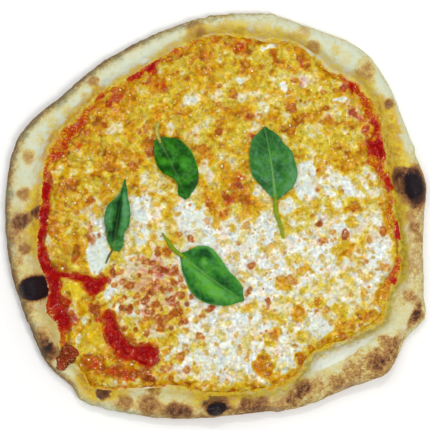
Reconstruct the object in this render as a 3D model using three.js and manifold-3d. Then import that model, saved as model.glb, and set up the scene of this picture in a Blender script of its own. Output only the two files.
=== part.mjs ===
// A margherita pizza: a hand-stretched base with a puffed rim, a layer of tomato sauce,
// a melted sheet of mozzarella with two gaps that show the sauce, four basil leaves and a piece of
// baked tomato.
// Millimetres, +Z up. The origin is under the middle of the pizza, on the surface that it lies on.
import * as THREE from "three";
import { mergeVertices } from "three/addons/utils/BufferGeometryUtils.js";
import Module from "manifold-3d";

const wasm = await Module();
wasm.setup();

// Driving dimensions. Pairs are [bearing in degrees, size in mm], anticlockwise from +X.
const crust = {
  reach: [
    [0, 157], [8, 160], [18, 157], [28, 159], [36, 163], [48, 166.5], [62, 159], [75, 156.5],
    [90, 150.5], [110, 143.5], [126, 143], [142, 146.5], [158, 158.5], [180, 157.5], [197, 158.5],
    [211, 162], [222, 168], [230, 167], [234, 171], [242, 165], [252, 158.5], [270, 151],
    [282, 151], [294, 157], [306, 162], [312, 168], [318, 174.5], [327, 170], [334, 175],
    [339, 168], [346, 161], [353, 157.5],
  ],
  rimWidth: [
    [0, 21], [11, 24], [24, 20], [34, 17], [43, 19], [52, 25], [64, 15], [76, 19], [90, 14],
    [104, 17], [122, 20], [134, 18], [151, 22], [169, 27], [181, 26], [192, 22], [203, 24],
    [209, 18], [215, 20], [222, 14], [234, 13], [242, 17], [250, 23], [258, 23], [270, 17],
    [288, 16], [297, 23], [307, 35], [318, 36], [328, 22], [334, 31], [342, 19], [352, 17],
  ],
  rimHeight: [
    [0, 14], [13, 17], [30, 13], [55, 14], [75, 12], [90, 11.5], [120, 12], [150, 14], [178, 14],
    [203, 17], [222, 13], [234, 11.5], [250, 14], [270, 16], [285, 14], [300, 17], [316, 20],
    [328, 15], [340, 14],
  ],
  // how far across the rim its crest lies, as a share of the rim's width
  crestShare: [
    [0, 0.54], [150, 0.5], [180, 0.46], [210, 0.54], [290, 0.52], [304, 0.42], [322, 0.38],
    [334, 0.5], [348, 0.54],
  ],
  bedThickness: 3,
  bellyShare: 0.36, // height of the widest line, as a share of the rim's height
  footTuck: 6, // how far the rim curls in under itself
  spokes: 132,
  bedRings: 3,
  flankRings: 7,
  brimRings: 4,
  footRings: 3,
};

// Bubbles in the rim that the oven has blown up.
const blisters = [
  { x: -136, y: -54, along: 13, across: 10, turn: 8, height: 4.5 },
  { x: 151, y: 19, along: 16, across: 8, turn: 97, height: 3 },
  { x: -1, y: -145, along: 11, across: 8, turn: 0, height: 3 },
  { x: 124, y: -114, along: 15, across: 10, turn: 40, height: 2.5 },
  { x: 68, y: -130, along: 11, across: 8, turn: 20, height: 2 },
  { x: 28, y: -143, along: 14, across: 6, turn: 4, height: 1.8 },
  { x: -14, y: 141, along: 8, across: 8, turn: 0, height: 1.8 },
  { x: 111, y: 109, along: 8, across: 7, turn: 0, height: 1.5 },
  { x: -84, y: -132, along: 8, across: 7, turn: 0, height: 1.8 },
  { x: -50, y: -123, along: 10, across: 6, turn: 10, height: 2.2 },
  { x: -127, y: -103, along: 9, across: 6, turn: -60, height: 1.8 },
  { x: -141, y: 0, along: 10, across: 8, turn: 80, height: 1.8 },
];

const sauce = {
  gap: 0.3, // clear of the bed below
  thickness: 1.1,
  edgeInset: 0.8,
  spokes: crust.spokes,
  topRings: 2,
  lumpSides: 12,
};

// Heaps of crushed tomato that stand up out of the sauce: round, flattened and half sunk.
const sauceLumps = [
  { x: -51.4, y: -104.6, radius: 6.4, height: 2.6 },
  { x: -66, y: -101, radius: 3.8, height: 1.9 },
  { x: -74.5, y: -94, radius: 2.9, height: 1.5 },
  { x: -91.7, y: -53, radius: 2.5, height: 1.4 },
  { x: 121.5, y: 46, radius: 4.4, height: 2.2 },
  { x: -117.6, y: -71, radius: 4.2, height: 1.8 },
  { x: -119.5, y: -56, radius: 3.2, height: 1.5 },
];

const cheese = {
  // how much of the sauce shows outside the cheese
  sauceBand: [
    [0, 6], [10, 6], [21, 13], [29, 6], [36, 10], [44, 8], [55, 3], [75, 2], [95, 2.5], [104, 4],
    [112, 6], [122, 5], [134, 6], [147, 8], [160, 7], [172, 6], [182, 5], [192, 6], [203, 11],
    [213, 12], [219, 9], [225, 3], [240, 3], [260, 3], [300, 3], [320, 3], [341, 7], [350, 3],
  ],
  gap: 0.3,
  thickness: 2.2,
  edgeThickness: 0.7,
  edgeRound: 7, // width of the thin melted edge
  swell: 0.35,
  swellLength: 34,
  spokes: 116,
  topRings: 15,
  bottomRings: 3,
};

// Mounds where a slice of mozzarella has melted.
const pools = [
  { x: -91, y: -20, along: 24, across: 14, turn: 95, height: 1.1 },
  { x: -10, y: -4, along: 26, across: 14, turn: 0, height: 0.9 },
  { x: 80, y: 8, along: 26, across: 18, turn: 70, height: 1 },
  { x: 42, y: -44, along: 34, across: 22, turn: 20, height: 1 },
  { x: 8, y: -98, along: 30, across: 24, turn: 80, height: 1 },
  { x: 98, y: -66, along: 30, across: 20, turn: 50, height: 1 },
  { x: 14, y: 84, along: 30, across: 16, turn: 60, height: 0.7 },
  { x: -68, y: 62, along: 22, across: 15, turn: 30, height: 0.7 },
  { x: 78, y: 88, along: 22, across: 15, turn: -30, height: 0.7 },
];

// Gaps in the cheese: a chain of discs, each [x, y, radius], joined up.
const cheeseGaps = [
  [
    [-78.4, -77, 2], [-77, -86, 3], [-74, -95, 4.2], [-67, -101, 5], [-59.6, -104, 4.5],
    [-51.4, -104.6, 7.4],
  ],
  [[-97, -45.5, 2.2], [-91.9, -53.4, 3.5], [-80.6, -47, 2]],
];

// Basil leaves. The blade runs from its base, where the stem starts, to its tip. left and right
// are its half widths at even steps on the way, seen from the base. sweep bows the midrib to the
// left, fold lifts both halves off it, arch lifts the middle and curl the tip. A bubble is
// [share of the length, share of the half width, radius, height].
const leaf = { thickness: 0.6, gap: 0.55, alongSteps: 13, acrossSteps: 8, stemSides: 6 };
const leaves = {
  basil_upper_left: {
    base: [-42.4, 58.1], tip: [-20.6, 13.1], sweep: 0.5,
    left: [3.8, 12.8, 15.8, 17.3, 17.5, 16.7, 15, 10.9, 1.5],
    right: [3.8, 6.8, 9.2, 10.1, 8.6, 4.1, 2.4, 5.2, 2.2],
    fold: 0.04, arch: 4.2, curl: 0.4, ripple: 0.9,
    bubbles: [[0.33, -0.25, 6, 1.6], [0.5, 0.45, 7, 1.2], [0.16, 0.4, 5, 0.9]],
    stem: [[-43.8, 64], [-42.2, 70.5]], stemRadius: [1.5, 1],
  },
  basil_upper_right: {
    base: [45.4, 11.6], tip: [37.1, 66.8], sweep: -1,
    left: [1.1, 5.9, 11, 15.2, 16, 15.2, 13.7, 10, 0.8],
    right: [1.9, 12.8, 17.5, 18.5, 17.6, 16.5, 11.6, 8.3, 1.1],
    fold: 0.09, arch: 1.2, curl: 0.8, ripple: 1.1,
    bubbles: [[0.5, 0.5, 6, 0.9], [0.35, -0.5, 6, 0.8], [0.68, -0.45, 5, 0.8]],
    stem: [[46, 1.9], [49.1, -7.1], [51.4, -16.9]], stemRadius: [1.5, 0.9],
  },
  basil_left: {
    base: [-76.5, -25.9], tip: [-67.5, 27.4], sweep: 0.4,
    left: [1.1, 5.2, 6.8, 9.5, 10, 8.6, 3, 1.2, 0.5],
    right: [5.2, 7.4, 6.6, 9.1, 9.2, 7.8, 5, 3, 0.6],
    fold: 0.55, arch: 0.8, curl: 0.2, ripple: 0.5,
    bubbles: [[0.1, -0.6, 4, 1.2]],
    stem: [[-79.2, -29.5], [-82, -35.6]], stemRadius: [0.7, 0.5],
  },
  basil_lower: {
    base: [-25.6, -29], tip: [21.8, -63.4], sweep: -1,
    left: [2.2, 13.9, 18.2, 17.5, 15, 12.3, 11, 8.2, 0.8],
    right: [1.5, 8.2, 12.8, 16.7, 18.2, 17.2, 14.2, 9.4, 0.8],
    fold: 0.07, arch: 2.2, curl: 0.3, ripple: 1,
    bubbles: [[0.29, 0.36, 7.5, 3], [0.6, 0.5, 7, 1], [0.55, -0.5, 8, 1.1]],
    stem: [[-31, -25], [-35.5, -18.5], [-39.6, -12.8]], stemRadius: [1.6, 0.7],
  },
};

// A baked piece of tomato on the flank of the rim. outline is its reach by bearing.
const tomato = {
  x: -110, y: -104, thickness: 1.9, edgeThickness: 0.7, gap: 0.4, crinkle: 0.5, rings: 3, spokes: 18,
  outline: [
    [18, 9.5], [59, 8.8], [95, 9], [140, 7.6], [170, 8.4], [212, 9.8], [247, 11.4], [290, 7],
    [330, 6.6],
  ],
  drapeReach: 2.6,
  evenReach: 2,
};

const turnAt = THREE.MathUtils.degToRad;
const fullTurn = 2 * Math.PI;

// A smooth closed curve through [bearing, value] pairs, as a function of the bearing in radians.
function roundTheRim(pairs) {
  const at = (i) => {
    const lap = Math.floor(i / pairs.length);
    const [bearing, value] = pairs[i - lap * pairs.length];
    return [bearing + 360 * lap, value];
  };
  const slope = (i) => {
    const [before, after] = [at(i - 1), at(i + 1)];
    return (after[1] - before[1]) / (after[0] - before[0]);
  };
  const first = pairs[0][0];
  return (angle) => {
    const bearing = first + THREE.MathUtils.euclideanModulo(THREE.MathUtils.radToDeg(angle) - first, 360);
    const i = pairs.findLastIndex(([start]) => start <= bearing);
    const [[b0, v0], [b1, v1]] = [at(i), at(i + 1)];
    const span = b1 - b0;
    const s = (bearing - b0) / span;
    const [s2, s3] = [s * s, s * s * s];
    return (
      v0 * (2 * s3 - 3 * s2 + 1) + slope(i) * span * (s3 - 2 * s2 + s) +
      v1 * (3 * s2 - 2 * s3) + slope(i + 1) * span * (s3 - s2)
    );
  };
}

const rimReach = roundTheRim(crust.reach);
const rimWidth = roundTheRim(crust.rimWidth);
const rimHeight = roundTheRim(crust.rimHeight);
const crestShare = roundTheRim(crust.crestShare);
const tomatoReach = roundTheRim(tomato.outline);
const sauceBand = roundTheRim(cheese.sauceBand);
const toppingReach = (angle) => rimReach(angle) - rimWidth(angle);
const cheeseReach = (angle) => toppingReach(angle) - sauceBand(angle);

// The height that a set of oval mounds adds at a point: each is round on top and dies out at its edge.
function moundsAt(mounds, x, y) {
  let lift = 0;
  for (const { x: cx, y: cy, along, across, turn, height } of mounds) {
    const [c, s] = [Math.cos(turnAt(turn)), Math.sin(turnAt(turn))];
    const u = ((x - cx) * c + (y - cy) * s) / along;
    const v = ((y - cy) * c - (x - cx) * s) / across;
    const inside = Math.max(0, 1 - u * u - v * v);
    lift += height * inside * inside * (3 - 2 * inside);
  }
  return lift;
}

// One closed solid from rings of points, first ring and last ring round a middle point each.
// rings[k][i] is a point; the faces point out when the rings run from the top middle to the bottom.
function solidFromRings(topMiddle, rings, bottomMiddle) {
  const count = rings[0].length;
  const positions = [...topMiddle, ...rings.flat(2), ...bottomMiddle];
  const last = rings.length * count + 1;
  const vertex = (k, i) => 1 + k * count + (i % count);
  const index = [];
  for (let i = 0; i < count; i++) {
    index.push(0, vertex(0, i), vertex(0, i + 1));
    for (let k = 0; k + 1 < rings.length; k++) {
      const [a, b] = [vertex(k, i), vertex(k, i + 1)];
      const [c, d] = [vertex(k + 1, i), vertex(k + 1, i + 1)];
      index.push(a, c, d, a, d, b);
    }
    index.push(last, vertex(rings.length - 1, i + 1), vertex(rings.length - 1, i));
  }
  const geometry = new THREE.BufferGeometry();
  geometry.setAttribute("position", new THREE.Float32BufferAttribute(positions, 3));
  geometry.setIndex(index);
  return geometry;
}

function manifoldOf(geometry) {
  const bare = geometry.clone();
  bare.deleteAttribute("normal");
  bare.deleteAttribute("uv");
  const merged = mergeVertices(bare, 1e-4);
  return new wasm.Manifold(
    new wasm.Mesh({
      numProp: 3,
      vertProperties: merged.attributes.position.array,
      triVerts: new Uint32Array(merged.index.array),
    }),
  );
}

function geometryOf(manifold) {
  const { vertProperties, triVerts } = manifold.getMesh();
  const geometry = new THREE.BufferGeometry();
  geometry.setAttribute("position", new THREE.Float32BufferAttribute(vertProperties, 3));
  geometry.setIndex(new THREE.Uint32BufferAttribute(triVerts, 1));
  geometry.computeVertexNormals();
  return geometry;
}

// The crust: a thin flat bed that swells into the rim, which rounds over and tucks in underneath.
const crestReach = (angle) => toppingReach(angle) + rimWidth(angle) * crestShare(angle);

function flankHeight(angle, share) {
  const rise = (1 - (1 - share) ** 1.8) ** (1 / 1.3);
  return crust.bedThickness + (rimHeight(angle) - crust.bedThickness) * rise;
}

function crustProfile(angle) {
  const outer = rimReach(angle);
  const inner = toppingReach(angle);
  const crest = crestReach(angle);
  const height = rimHeight(angle);
  const belly = height * crust.bellyShare;
  const line = [];
  for (let k = 1; k <= crust.bedRings; k++) {
    line.push([(inner * k) / crust.bedRings, crust.bedThickness]);
  }
  for (let k = 1; k <= crust.flankRings; k++) {
    const share = k / crust.flankRings;
    line.push([inner + (crest - inner) * share, flankHeight(angle, share)]);
  }
  for (let k = 1; k <= crust.brimRings; k++) {
    const a = ((Math.PI / 2) * k) / crust.brimRings;
    line.push([crest + (outer - crest) * Math.sin(a), belly + (height - belly) * Math.cos(a)]);
  }
  for (let k = 1; k <= crust.footRings; k++) {
    const a = ((Math.PI / 2) * k) / crust.footRings;
    line.push([outer - crust.footTuck * (1 - Math.cos(a)), belly * (1 - Math.sin(a))]);
  }
  return line;
}

function crustGeometry() {
  const profiles = [];
  for (let i = 0; i < crust.spokes; i++) {
    const angle = (fullTurn * i) / crust.spokes;
    profiles.push(
      crustProfile(angle).map(([reach, z]) => {
        const [x, y] = [reach * Math.cos(angle), reach * Math.sin(angle)];
        const onTop = z > crust.bedThickness;
        return [x, y, onTop ? z + moundsAt(blisters, x, y) : z];
      }),
    );
  }
  const rings = profiles[0].map((_, k) => profiles.map((profile) => profile[k]));
  return solidFromRings([0, 0, crust.bedThickness], rings, [0, 0, 0]);
}

// The sauce: a thin layer over the whole bed, with a rounded edge.
const sauceBottom = crust.bedThickness + sauce.gap;
const sauceTop = sauceBottom + sauce.thickness;

function sauceGeometry() {
  const ring = (share, inset, z) =>
    Array.from({ length: sauce.spokes }, (_, i) => {
      const angle = (fullTurn * i) / sauce.spokes;
      const reach = (toppingReach(angle) - sauce.edgeInset - inset) * share;
      return [reach * Math.cos(angle), reach * Math.sin(angle), z];
    });
  const rings = [];
  for (let k = 1; k <= sauce.topRings; k++) rings.push(ring(k / sauce.topRings, 1.2, sauceTop));
  rings.push(ring(1, 0, sauceBottom + sauce.thickness / 2));
  rings.push(ring(1, 0.4, sauceBottom));
  let layer = manifoldOf(solidFromRings([0, 0, sauceTop], rings, [0, 0, sauceBottom]));
  for (const { x, y, radius, height } of sauceLumps) {
    const lump = new THREE.SphereGeometry(radius, sauce.lumpSides, 7).rotateX(Math.PI / 2);
    const sunk = 0.35 * sauce.thickness;
    lump.scale(1, 1, height / radius).translate(x, y, sauceTop);
    const cutoff = new THREE.BoxGeometry(4 * radius, 4 * radius, 4 * height);
    cutoff.translate(x, y, sauceTop - sunk - 2 * height);
    layer = layer.add(manifoldOf(lump).subtract(manifoldOf(cutoff)));
  }
  return geometryOf(layer);
}

// The cheese: a melted sheet on the sauce, mounded over its pools, thin at its edge.
const cheeseBottom = sauceTop + cheese.gap;

function cheeseTopAt(x, y) {
  const reach = Math.hypot(x, y);
  const inFromEdge = cheeseReach(Math.atan2(y, x)) - reach;
  const s = THREE.MathUtils.clamp(inFromEdge / cheese.edgeRound, 0, 1);
  const wave =
    Math.sin(x / cheese.swellLength * fullTurn + 1.3) * Math.cos(y / cheese.swellLength * fullTurn) +
    Math.sin((x + y) / (1.7 * cheese.swellLength) * fullTurn);
  const full = cheese.thickness + cheese.swell * 0.5 * wave + moundsAt(pools, x, y);
  const thickness = cheese.edgeThickness + (full - cheese.edgeThickness) * Math.sqrt(s * (2 - s));
  return cheeseBottom + thickness;
}

function cheeseGeometry() {
  const ring = (share, z) =>
    Array.from({ length: cheese.spokes }, (_, i) => {
      const angle = (fullTurn * i) / cheese.spokes;
      const reach = cheeseReach(angle) * share;
      const [x, y] = [reach * Math.cos(angle), reach * Math.sin(angle)];
      return [x, y, z ?? cheeseTopAt(x, y)];
    });
  const rings = [];
  const lastShare = 0.985;
  for (let k = 1; k <= cheese.topRings; k++) {
    const s = k / cheese.topRings;
    rings.push(ring(s * (1.25 - 0.25 * s)));
  }
  for (let k = cheese.bottomRings; k >= 1; k--) {
    rings.push(ring((lastShare * k) / cheese.bottomRings, cheeseBottom));
  }
  return solidFromRings([0, 0, cheeseTopAt(0, 0)], rings, [0, 0, cheeseBottom]);
}

// A gap's cutter: the discs of a chain and the straight bands between them, as upright prisms.
function gapCutter(chain) {
  const depth = 20;
  const prism = (shape) =>
    manifoldOf(new THREE.ExtrudeGeometry(shape, { depth, bevelEnabled: false, curveSegments: 8 }));
  let cutter = null;
  const join = (solid) => {
    cutter = cutter ? cutter.add(solid) : solid;
  };
  chain.forEach(([x, y, radius], i) => {
    join(prism(new THREE.Shape().absarc(x, y, radius, 0, fullTurn)));
    if (i === 0) return;
    const [px, py, before] = chain[i - 1];
    const side = new THREE.Vector2(py - y, x - px).normalize();
    const band = [
      [px + side.x * before, py + side.y * before],
      [px - side.x * before, py - side.y * before],
      [x - side.x * radius, y - side.y * radius],
      [x + side.x * radius, y + side.y * radius],
    ].map(([bx, by]) => new THREE.Vector2(bx, by));
    join(prism(new THREE.Shape(band)));
  });
  return cutter;
}

function cutCheese() {
  let sheet = manifoldOf(cheeseGeometry());
  for (const chain of cheeseGaps) sheet = sheet.subtract(gapCutter(chain));
  return geometryOf(sheet);
}

// A smooth curve through values at even steps from 0 to 1.
function smoothSteps(values) {
  const last = values.length - 1;
  return (s) => {
    const i = Math.min(Math.floor(s * last), last - 1);
    const u = s * last - i;
    const [a, b, c, d] = [i - 1, i, i + 1, i + 2].map((k) => values[THREE.MathUtils.clamp(k, 0, last)]);
    return b + 0.5 * u * (c - a + u * (2 * a - 5 * b + 4 * c - d + u * (3 * (b - c) + d - a)));
  };
}

// A point of a blade's top face: s runs from base to tip, and t across, from -1 to 1.
function bladePoint(shape, s, t) {
  const [bx, by] = shape.base;
  const [dx, dy] = [shape.tip[0] - bx, shape.tip[1] - by];
  const length = Math.hypot(dx, dy);
  const half = smoothSteps(t > 0 ? shape.left : shape.right)(s);
  const aside = half * t + shape.sweep * 4 * s * (1 - s);
  const x = bx + dx * s - (dy / length) * aside;
  const y = by + dy * s + (dx / length) * aside;
  const hump = Math.sin(Math.PI * s);
  let lift = shape.arch * hump * (1 - 0.6 * t * t) + shape.fold * half * Math.abs(t) * (0.3 + 0.7 * hump);
  lift += shape.curl * s * s + shape.ripple * 0.5 * t * t * (1 + Math.sin(7.5 * Math.PI * s + 2 * t));
  for (const [bubbleS, bubbleT, radius, height] of shape.bubbles) {
    const off = Math.hypot((s - bubbleS) * length, half * (t - bubbleT)) / radius;
    lift += height * Math.max(0, 1 - off * off) ** 2;
  }
  return [x, y, cheeseTopAt(x, y) + leaf.gap + leaf.thickness + lift];
}

// Both faces of the blade are split into triangles alike, and a strip closes the edge.
function bladeSolid(shape) {
  const [along, across] = [leaf.alongSteps, leaf.acrossSteps];
  const top = [];
  for (let i = 0; i <= along; i++) {
    for (let j = 0; j <= across; j++) top.push(bladePoint(shape, i / along, (2 * j) / across - 1));
  }
  const bottom = top.map(([x, y, z]) => [x, y, z - leaf.thickness]);
  const row = across + 1;
  const under = top.length;
  const faces = [];
  for (let i = 0; i < along; i++) {
    for (let j = 0; j < across; j++) {
      const [a, b] = [i * row + j, i * row + j + 1];
      const [c, d] = [a + row, b + row];
      faces.push(a, c, d, a, d, b, under + a, under + d, under + c, under + a, under + b, under + d);
    }
  }
  const edge = [];
  for (let i = 0; i < along; i++) edge.push([i * row, (i + 1) * row]);
  for (let j = 0; j < across; j++) edge.push([along * row + j, along * row + j + 1]);
  for (let i = along; i > 0; i--) edge.push([i * row + across, (i - 1) * row + across]);
  for (let j = across; j > 0; j--) edge.push([j, j - 1]);
  for (const [a, b] of edge) faces.push(a, under + a, under + b, a, under + b, b);
  const geometry = new THREE.BufferGeometry();
  geometry.setAttribute("position", new THREE.Float32BufferAttribute([...top, ...bottom].flat(), 3));
  geometry.setIndex(faces);
  return manifoldOf(geometry);
}

// The stem: a tapering rod from inside the blade's base out along the cheese.
function stemSolid(shape) {
  const [thick, thin] = shape.stemRadius;
  const inside = bladePoint(shape, 0.1, 0);
  const route = new THREE.CatmullRomCurve3([
    new THREE.Vector3(inside[0], inside[1], inside[2] - leaf.thickness / 2),
    ...[shape.base, ...shape.stem].map(
      ([x, y]) => new THREE.Vector3(x, y, cheeseTopAt(x, y) + leaf.gap + thick),
    ),
  ]);
  const steps = 2 * shape.stem.length + 2;
  const up = new THREE.Vector3(0, 0, 1);
  const middles = [];
  const rings = [];
  for (let k = 0; k <= steps; k++) {
    const middle = route.getPoint(k / steps);
    const side = new THREE.Vector3().crossVectors(route.getTangent(k / steps), up).normalize();
    const radius = THREE.MathUtils.lerp(thick, thin, k / steps);
    middle.z = Math.max(middle.z, cheeseTopAt(middle.x, middle.y) + leaf.gap + radius);
    const ring = Array.from({ length: leaf.stemSides }, (_, i) => {
      const a = (fullTurn * i) / leaf.stemSides;
      const point = middle.clone().addScaledVector(side, radius * Math.cos(a));
      return point.addScaledVector(up, radius * Math.sin(a)).toArray();
    });
    middles.push(middle.toArray());
    rings.push(ring);
  }
  return manifoldOf(solidFromRings(middles[0], rings, middles[steps]));
}

// The height of whatever is on top at a point: cheese, sauce or crust.
function surfaceAt(x, y) {
  const angle = Math.atan2(y, x);
  const reach = Math.hypot(x, y);
  const inner = toppingReach(angle);
  if (reach < cheeseReach(angle)) return cheeseTopAt(x, y);
  if (reach < inner) return sauceTop;
  const share = Math.min((reach - inner) / (crestReach(angle) - inner), 1);
  return flankHeight(angle, share) + moundsAt(blisters, x, y);
}

// The piece of tomato is draped over the highest of what lies near each of its points, evened out
// because it is limp.
function tomatoGeometry() {
  const around = (x, y, reach, count, heightAt) =>
    Array.from({ length: count }, (_, i) => {
      const a = (fullTurn * i) / count;
      return heightAt(x + reach * Math.cos(a), y + reach * Math.sin(a));
    });
  const highestNear = (x, y) =>
    Math.max(surfaceAt(x, y), ...around(x, y, tomato.drapeReach, 12, surfaceAt));
  const drape = (x, y) => {
    const heights = [highestNear(x, y), ...around(x, y, tomato.evenReach, 8, highestNear)];
    return heights.reduce((sum, height) => sum + height) / heights.length + tomato.gap;
  };
  const point = (angle, share, thickness) => {
    const x = tomato.x + tomatoReach(angle) * share * Math.cos(angle);
    const y = tomato.y + tomatoReach(angle) * share * Math.sin(angle);
    return [x, y, drape(x, y) + thickness];
  };
  const ring = (share, thicknessAt) =>
    Array.from({ length: tomato.spokes }, (_, i) => {
      const angle = (fullTurn * i) / tomato.spokes;
      return point(angle, share, thicknessAt(angle));
    });
  const rings = [];
  for (let k = 1; k <= tomato.rings; k++) {
    const share = k / tomato.rings;
    const swell = tomato.thickness + (tomato.edgeThickness - tomato.thickness) * share ** 2;
    const crinkle = (angle) => tomato.crinkle * share * (1 - share) * 4 * Math.sin(3 * angle + 5 * share);
    rings.push(ring(share, (angle) => swell + crinkle(angle)));
  }
  for (let k = tomato.rings; k >= 1; k--) rings.push(ring((0.96 * k) / tomato.rings, () => 0));
  return solidFromRings(point(0, 0, tomato.thickness), rings, point(0, 0, 0));
}

const look = {
  crust: { color: 0xd9c79a, roughness: 0.85 },
  tomato: { color: 0xa81c0c, roughness: 0.35 },
  mozzarella: { color: 0xe9dca6, roughness: 0.45 },
  basil: { color: 0x2f7a2a, roughness: 0.45 },
  bakedTomato: { color: 0x7a3212, roughness: 0.3 },
};

const pizza = new THREE.Group();

function serve(name, geometry, finish) {
  const material = new THREE.MeshStandardMaterial({ ...look[finish], metalness: 0 });
  const mesh = new THREE.Mesh(geometry, material);
  mesh.name = name;
  pizza.add(mesh);
}

serve("crust", crustGeometry(), "crust");
serve("sauce", sauceGeometry(), "tomato");
serve("cheese", cutCheese(), "mozzarella");
serve("tomato_piece", tomatoGeometry(), "bakedTomato");
for (const [name, shape] of Object.entries(leaves)) {
  serve(name, geometryOf(bladeSolid(shape).add(stemSolid(shape))), "basil");
}

export default pizza;
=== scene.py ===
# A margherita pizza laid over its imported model: a blistered crust, tomato sauce, melted
# mozzarella, a baked piece of tomato and four basil leaves.
import math
import bpy
import numpy as np
from mathutils.geometry import delaunay_2d_cdt
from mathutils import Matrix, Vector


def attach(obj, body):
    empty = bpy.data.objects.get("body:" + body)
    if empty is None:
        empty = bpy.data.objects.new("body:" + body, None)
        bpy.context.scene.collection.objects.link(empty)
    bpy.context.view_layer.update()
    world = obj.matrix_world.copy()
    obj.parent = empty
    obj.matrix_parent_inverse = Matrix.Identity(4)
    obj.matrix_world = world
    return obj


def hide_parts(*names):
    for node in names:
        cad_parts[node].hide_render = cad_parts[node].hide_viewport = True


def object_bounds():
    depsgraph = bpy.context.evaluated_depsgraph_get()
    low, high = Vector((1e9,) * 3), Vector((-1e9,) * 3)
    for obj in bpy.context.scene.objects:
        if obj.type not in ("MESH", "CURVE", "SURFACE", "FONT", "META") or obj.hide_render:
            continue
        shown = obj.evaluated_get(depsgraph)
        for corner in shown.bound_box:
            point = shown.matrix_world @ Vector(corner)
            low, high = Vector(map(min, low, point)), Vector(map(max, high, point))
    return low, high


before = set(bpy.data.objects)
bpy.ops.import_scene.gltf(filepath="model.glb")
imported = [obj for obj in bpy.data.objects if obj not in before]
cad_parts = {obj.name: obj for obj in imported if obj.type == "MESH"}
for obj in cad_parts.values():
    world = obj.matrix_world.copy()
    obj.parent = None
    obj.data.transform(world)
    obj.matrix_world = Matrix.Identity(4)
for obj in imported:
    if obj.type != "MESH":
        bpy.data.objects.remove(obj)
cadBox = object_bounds()
print("frame loaded")

scene = bpy.context.scene
scene.view_settings.view_transform = "Standard"
mm = 0.001
fullTurn = 2 * math.pi


# sizes shared with the solids, in mm; pairs are (bearing in degrees, size)
dough = {
    "reach": [
        (0, 157), (8, 160), (18, 157), (28, 159), (36, 163), (48, 166.5), (62, 159), (75, 156.5),
        (90, 150.5), (110, 143.5), (126, 143), (142, 146.5), (158, 158.5), (180, 157.5), (197, 158.5),
        (211, 162), (222, 168), (230, 167), (234, 171), (242, 165), (252, 158.5), (270, 151), (282, 151),
        (294, 157), (306, 162), (312, 168), (318, 174.5), (327, 170), (334, 175), (339, 168), (346, 161),
        (353, 157.5),
    ],
    "rimWidth": [
        (0, 21), (11, 24), (24, 20), (34, 17), (43, 19), (52, 25), (64, 15), (76, 19), (90, 14), (104, 17),
        (122, 20), (134, 18), (151, 22), (169, 27), (181, 26), (192, 22), (203, 24), (209, 18), (215, 20),
        (222, 14), (234, 13), (242, 17), (250, 23), (258, 23), (270, 17), (288, 16), (297, 23), (307, 35),
        (318, 36), (328, 22), (334, 31), (342, 19), (352, 17),
    ],
    "rimHeight": [
        (0, 14), (13, 17), (30, 13), (55, 14), (75, 12), (90, 11.5), (120, 12), (150, 14), (178, 14),
        (203, 17), (222, 13), (234, 11.5), (250, 14), (270, 16), (285, 14), (300, 17), (316, 20), (328, 15),
        (340, 14),
    ],
    "crestShare": [
        (0, 0.54), (150, 0.5), (180, 0.46), (210, 0.54), (290, 0.52), (304, 0.42), (322, 0.38), (334, 0.5),
        (348, 0.54),
    ],
    "bed": 3,
    "bellyShare": 0.36,
    "footTuck": 6,
    # x, y, along, across, turn, height
    "blisters": [
        (-136, -54, 13, 10, 8, 4.5), (151, 19, 16, 8, 97, 3), (-1, -145, 11, 8, 0, 3),
        (124, -114, 15, 10, 40, 2.5), (68, -130, 11, 8, 20, 2), (28, -143, 14, 6, 4, 1.8),
        (-14, 141, 8, 8, 0, 1.8), (111, 109, 8, 7, 0, 1.5), (-84, -132, 8, 7, 0, 1.8),
        (-50, -123, 10, 6, 10, 2.2), (-127, -103, 9, 6, -60, 1.8), (-141, 0, 10, 8, 80, 1.8),
    ],
}

topping = {
    "sauceBottom": 3.3,
    "sauceTop": 4.4,
    "lumps": [  # x, y, radius, height
        (-51.4, -104.6, 6.4, 2.6), (-66, -101, 3.8, 1.9), (-74.5, -94, 2.9, 1.5),
        (-91.7, -53, 2.5, 1.4), (121.5, 46, 4.4, 2.2), (-117.6, -71, 4.2, 1.8),
        (-119.5, -56, 3.2, 1.5),
    ],
    "cheeseBottom": 4.7,
    "cheeseThick": 2.2,
    "cheeseEdge": 0.7,
    "edgeRound": 7,
    "swell": 0.35,
    "swellLength": 34,
    "sauceBand": [
        (0, 6), (10, 6), (21, 13), (29, 6), (36, 10), (44, 8), (55, 3), (75, 2), (95, 2.5), (104, 4),
        (112, 6), (122, 5), (134, 6), (147, 8), (160, 7), (172, 6), (182, 5), (192, 6), (203, 11),
        (213, 12), (219, 9), (225, 3), (240, 3), (260, 3), (300, 3), (320, 3), (341, 7), (350, 3),
    ],
    "pools": [  # x, y, along, across, turn, height
        (-91, -20, 24, 14, 95, 1.1), (-10, -4, 26, 14, 0, 0.9), (80, 8, 26, 18, 70, 1),
        (42, -44, 34, 22, 20, 1), (8, -98, 30, 24, 80, 1), (98, -66, 30, 20, 50, 1),
        (14, 84, 30, 16, 60, 0.7), (-68, 62, 22, 15, 30, 0.7), (78, 88, 22, 15, -30, 0.7),
    ],
    "gaps": [  # chains of discs: x, y, radius
        [(-79.5, -75, 2), (-78.5, -84, 3.6), (-75, -94, 5), (-67, -101, 5.6), (-59.6, -104, 5),
         (-51.4, -104.6, 8)],
        [(-120, -43, 1.6), (-108.4, -45.4, 1.8), (-97, -46.9, 3), (-91.9, -55, 4), (-83, -48, 2.2)],
    ],
}


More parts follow.
